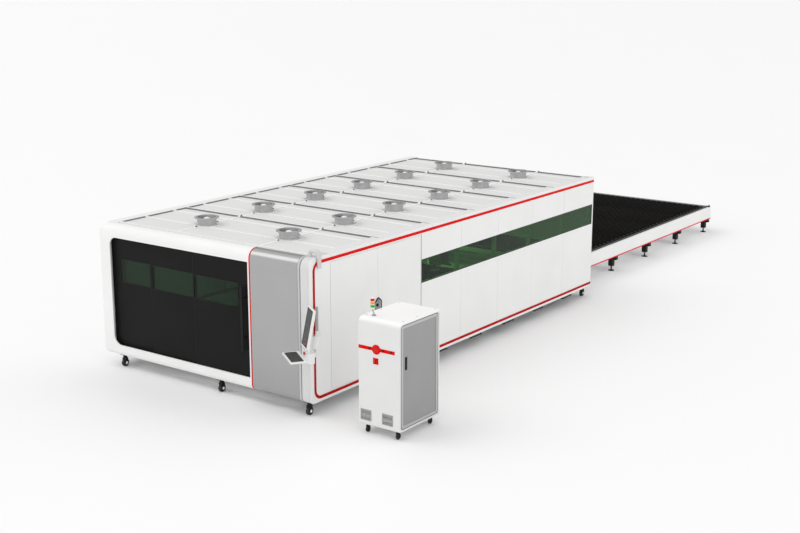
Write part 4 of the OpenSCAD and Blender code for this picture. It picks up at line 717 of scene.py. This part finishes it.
# %% Lock nuts
NUT = [(0.013, 0.0), (0.021, 0.0), (0.024, 0.002), (0.024, 0.014), (0.021, 0.016), (0.013, 0.016)]
LEG_X, LEG_LAST, LEG_STEP, LEGS = 1.550, 11.395, 1.630, 5
leg_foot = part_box("table_legs")[0][2]
nuts = bmesh.new()
for x in (-LEG_X, LEG_X):
    for k in range(LEGS):
        turned(nuts, NUT, at((x, LEG_LAST - LEG_STEP * k, leg_foot - 0.017)), 6)
piece("foot_nuts", nuts, zinc, "machine")

# %% [markdown]
# ## Casters of the housing
# Each caster has a white cap over the two ends of its axle: a shallow dome, spun upright
# and turned to the left or to the right.

# %% Axle caps of the casters
CAP = [(0.0, 0.009), (0.014, 0.008), (0.022, 0.004), (0.024, 0.0)]
CASTER_X, CASTER_Y = (-1.900, 0.280, 2.050), (FRONT + 0.142, REAR - 0.070)
AXLE_HALF, AXLE_HEIGHT = 0.033, 0.062
caps = bmesh.new()
for y in CASTER_Y:
    for x in CASTER_X:
        for side in (-1, 1):
            end = at((x + side * AXLE_HALF, y, AXLE_HEIGHT))
            turned(caps, CAP, end @ Matrix.Rotation(side * pi / 2, 4, "Y"), 20)
piece("caster_caps", caps, white_plastic, "machine")

# %% [markdown]
# ## Room
# A plain pale floor runs far behind the machine, so that no edge of it comes into view.

# %% Floor
FLOOR_REACH = 400.0
ground = bmesh.new()
bmesh.ops.create_grid(ground, x_segments=4, y_segments=4, size=FLOOR_REACH)
floor_mesh = bpy.data.meshes.new("floor")
ground.to_mesh(floor_mesh)
ground.free()
floor = bpy.data.objects.new("floor", floor_mesh)
scene.collection.objects.link(floor)
pale_floor = surface("pale_sealed_floor", "#fcfcfc", "#fafafa", 2500, (0.55, 0.65), 300, 0.02,
                     sockets={"Specular IOR Level": 0.2})
floor_mesh.materials.append(pale_floor)
print("floor reaches", FLOOR_REACH, "m each way")

# %% [markdown]
# White surroundings give soft shade all round and darken towards the back, so that metal
# shows some contrast, but the camera itself sees an even white there, which a Light Path
# node gives.

# %% Surroundings
BACKWARD = (-0.30, 0.925, 0.23)
DARKENS_FROM, DARKEST = 0.6, 0.36
world = bpy.data.worlds.new("white_room")
world.use_nodes = True
tree = world.node_tree
heading = add(tree, "ShaderNodeTexCoord").outputs["Generated"]
backward = add(tree, "ShaderNodeVectorMath", {0: heading}, {1: BACKWARD}, operation="DOT_PRODUCT")
level = add(tree, "ShaderNodeMapRange", {"Value": backward.outputs["Value"]},
            {"From Min": DARKENS_FROM, "From Max": 1.0, "To Min": 1.0, "To Max": DARKEST})
seen = add(tree, "ShaderNodeLightPath").outputs["Is Camera Ray"]
strength = add(tree, "ShaderNodeMix", {0: seen, 2: level.outputs["Result"]}, {3: 1.0},
               data_type="FLOAT")
tree.links.new(strength.outputs[0], tree.nodes["Background"].inputs["Strength"])
tree.nodes["Background"].inputs["Color"].default_value = (1.0, 1.0, 1.0, 1.0)
scene.world = world
scene.view_settings.view_transform = "Standard"
print("surroundings fall to", DARKEST, "at the back")

# %% [markdown]
# A very soft sun, high at the front left, lights roof and floor and draws a bright line
# along rounded edges, and three lamps under the roof light the cutting space as the real
# ones do.

# %% Sun and lamps
def lamp(name, kind, energy, along, place=(0.0, 0.0, 0.0), **settings):
    light = bpy.data.lights.new(name, kind)
    light.energy = energy
    for key, value in settings.items():
        setattr(light, key, value)
    made = bpy.data.objects.new(name, light)
    made.location = place
    made.rotation_euler = Vector(along).to_track_quat("-Z", "Y").to_euler()
    scene.collection.objects.link(made)
    print(name, "has an energy of", energy)


LAMP_HEIGHT, DOWN, TO_DOOR = 2.25, (0.0, 0.0, -2.25), (-0.6, 0.0, -0.85)
lamp("front_sun", "SUN", 0.42, (0.50, 0.40, -0.77), angle=radians(40))
lamp("space_lamp_front", "AREA", 30.0, DOWN, (0.3, -2.4, LAMP_HEIGHT), shape="SQUARE", size=1.2)
lamp("space_lamp_rear", "AREA", 12.0, DOWN, (0.3, 1.6, LAMP_HEIGHT), shape="SQUARE", size=1.2)
lamp("space_lamp_door", "AREA", 1.6, TO_DOOR, (-1.5, -3.4, LAMP_HEIGHT), shape="SQUARE", size=0.3)
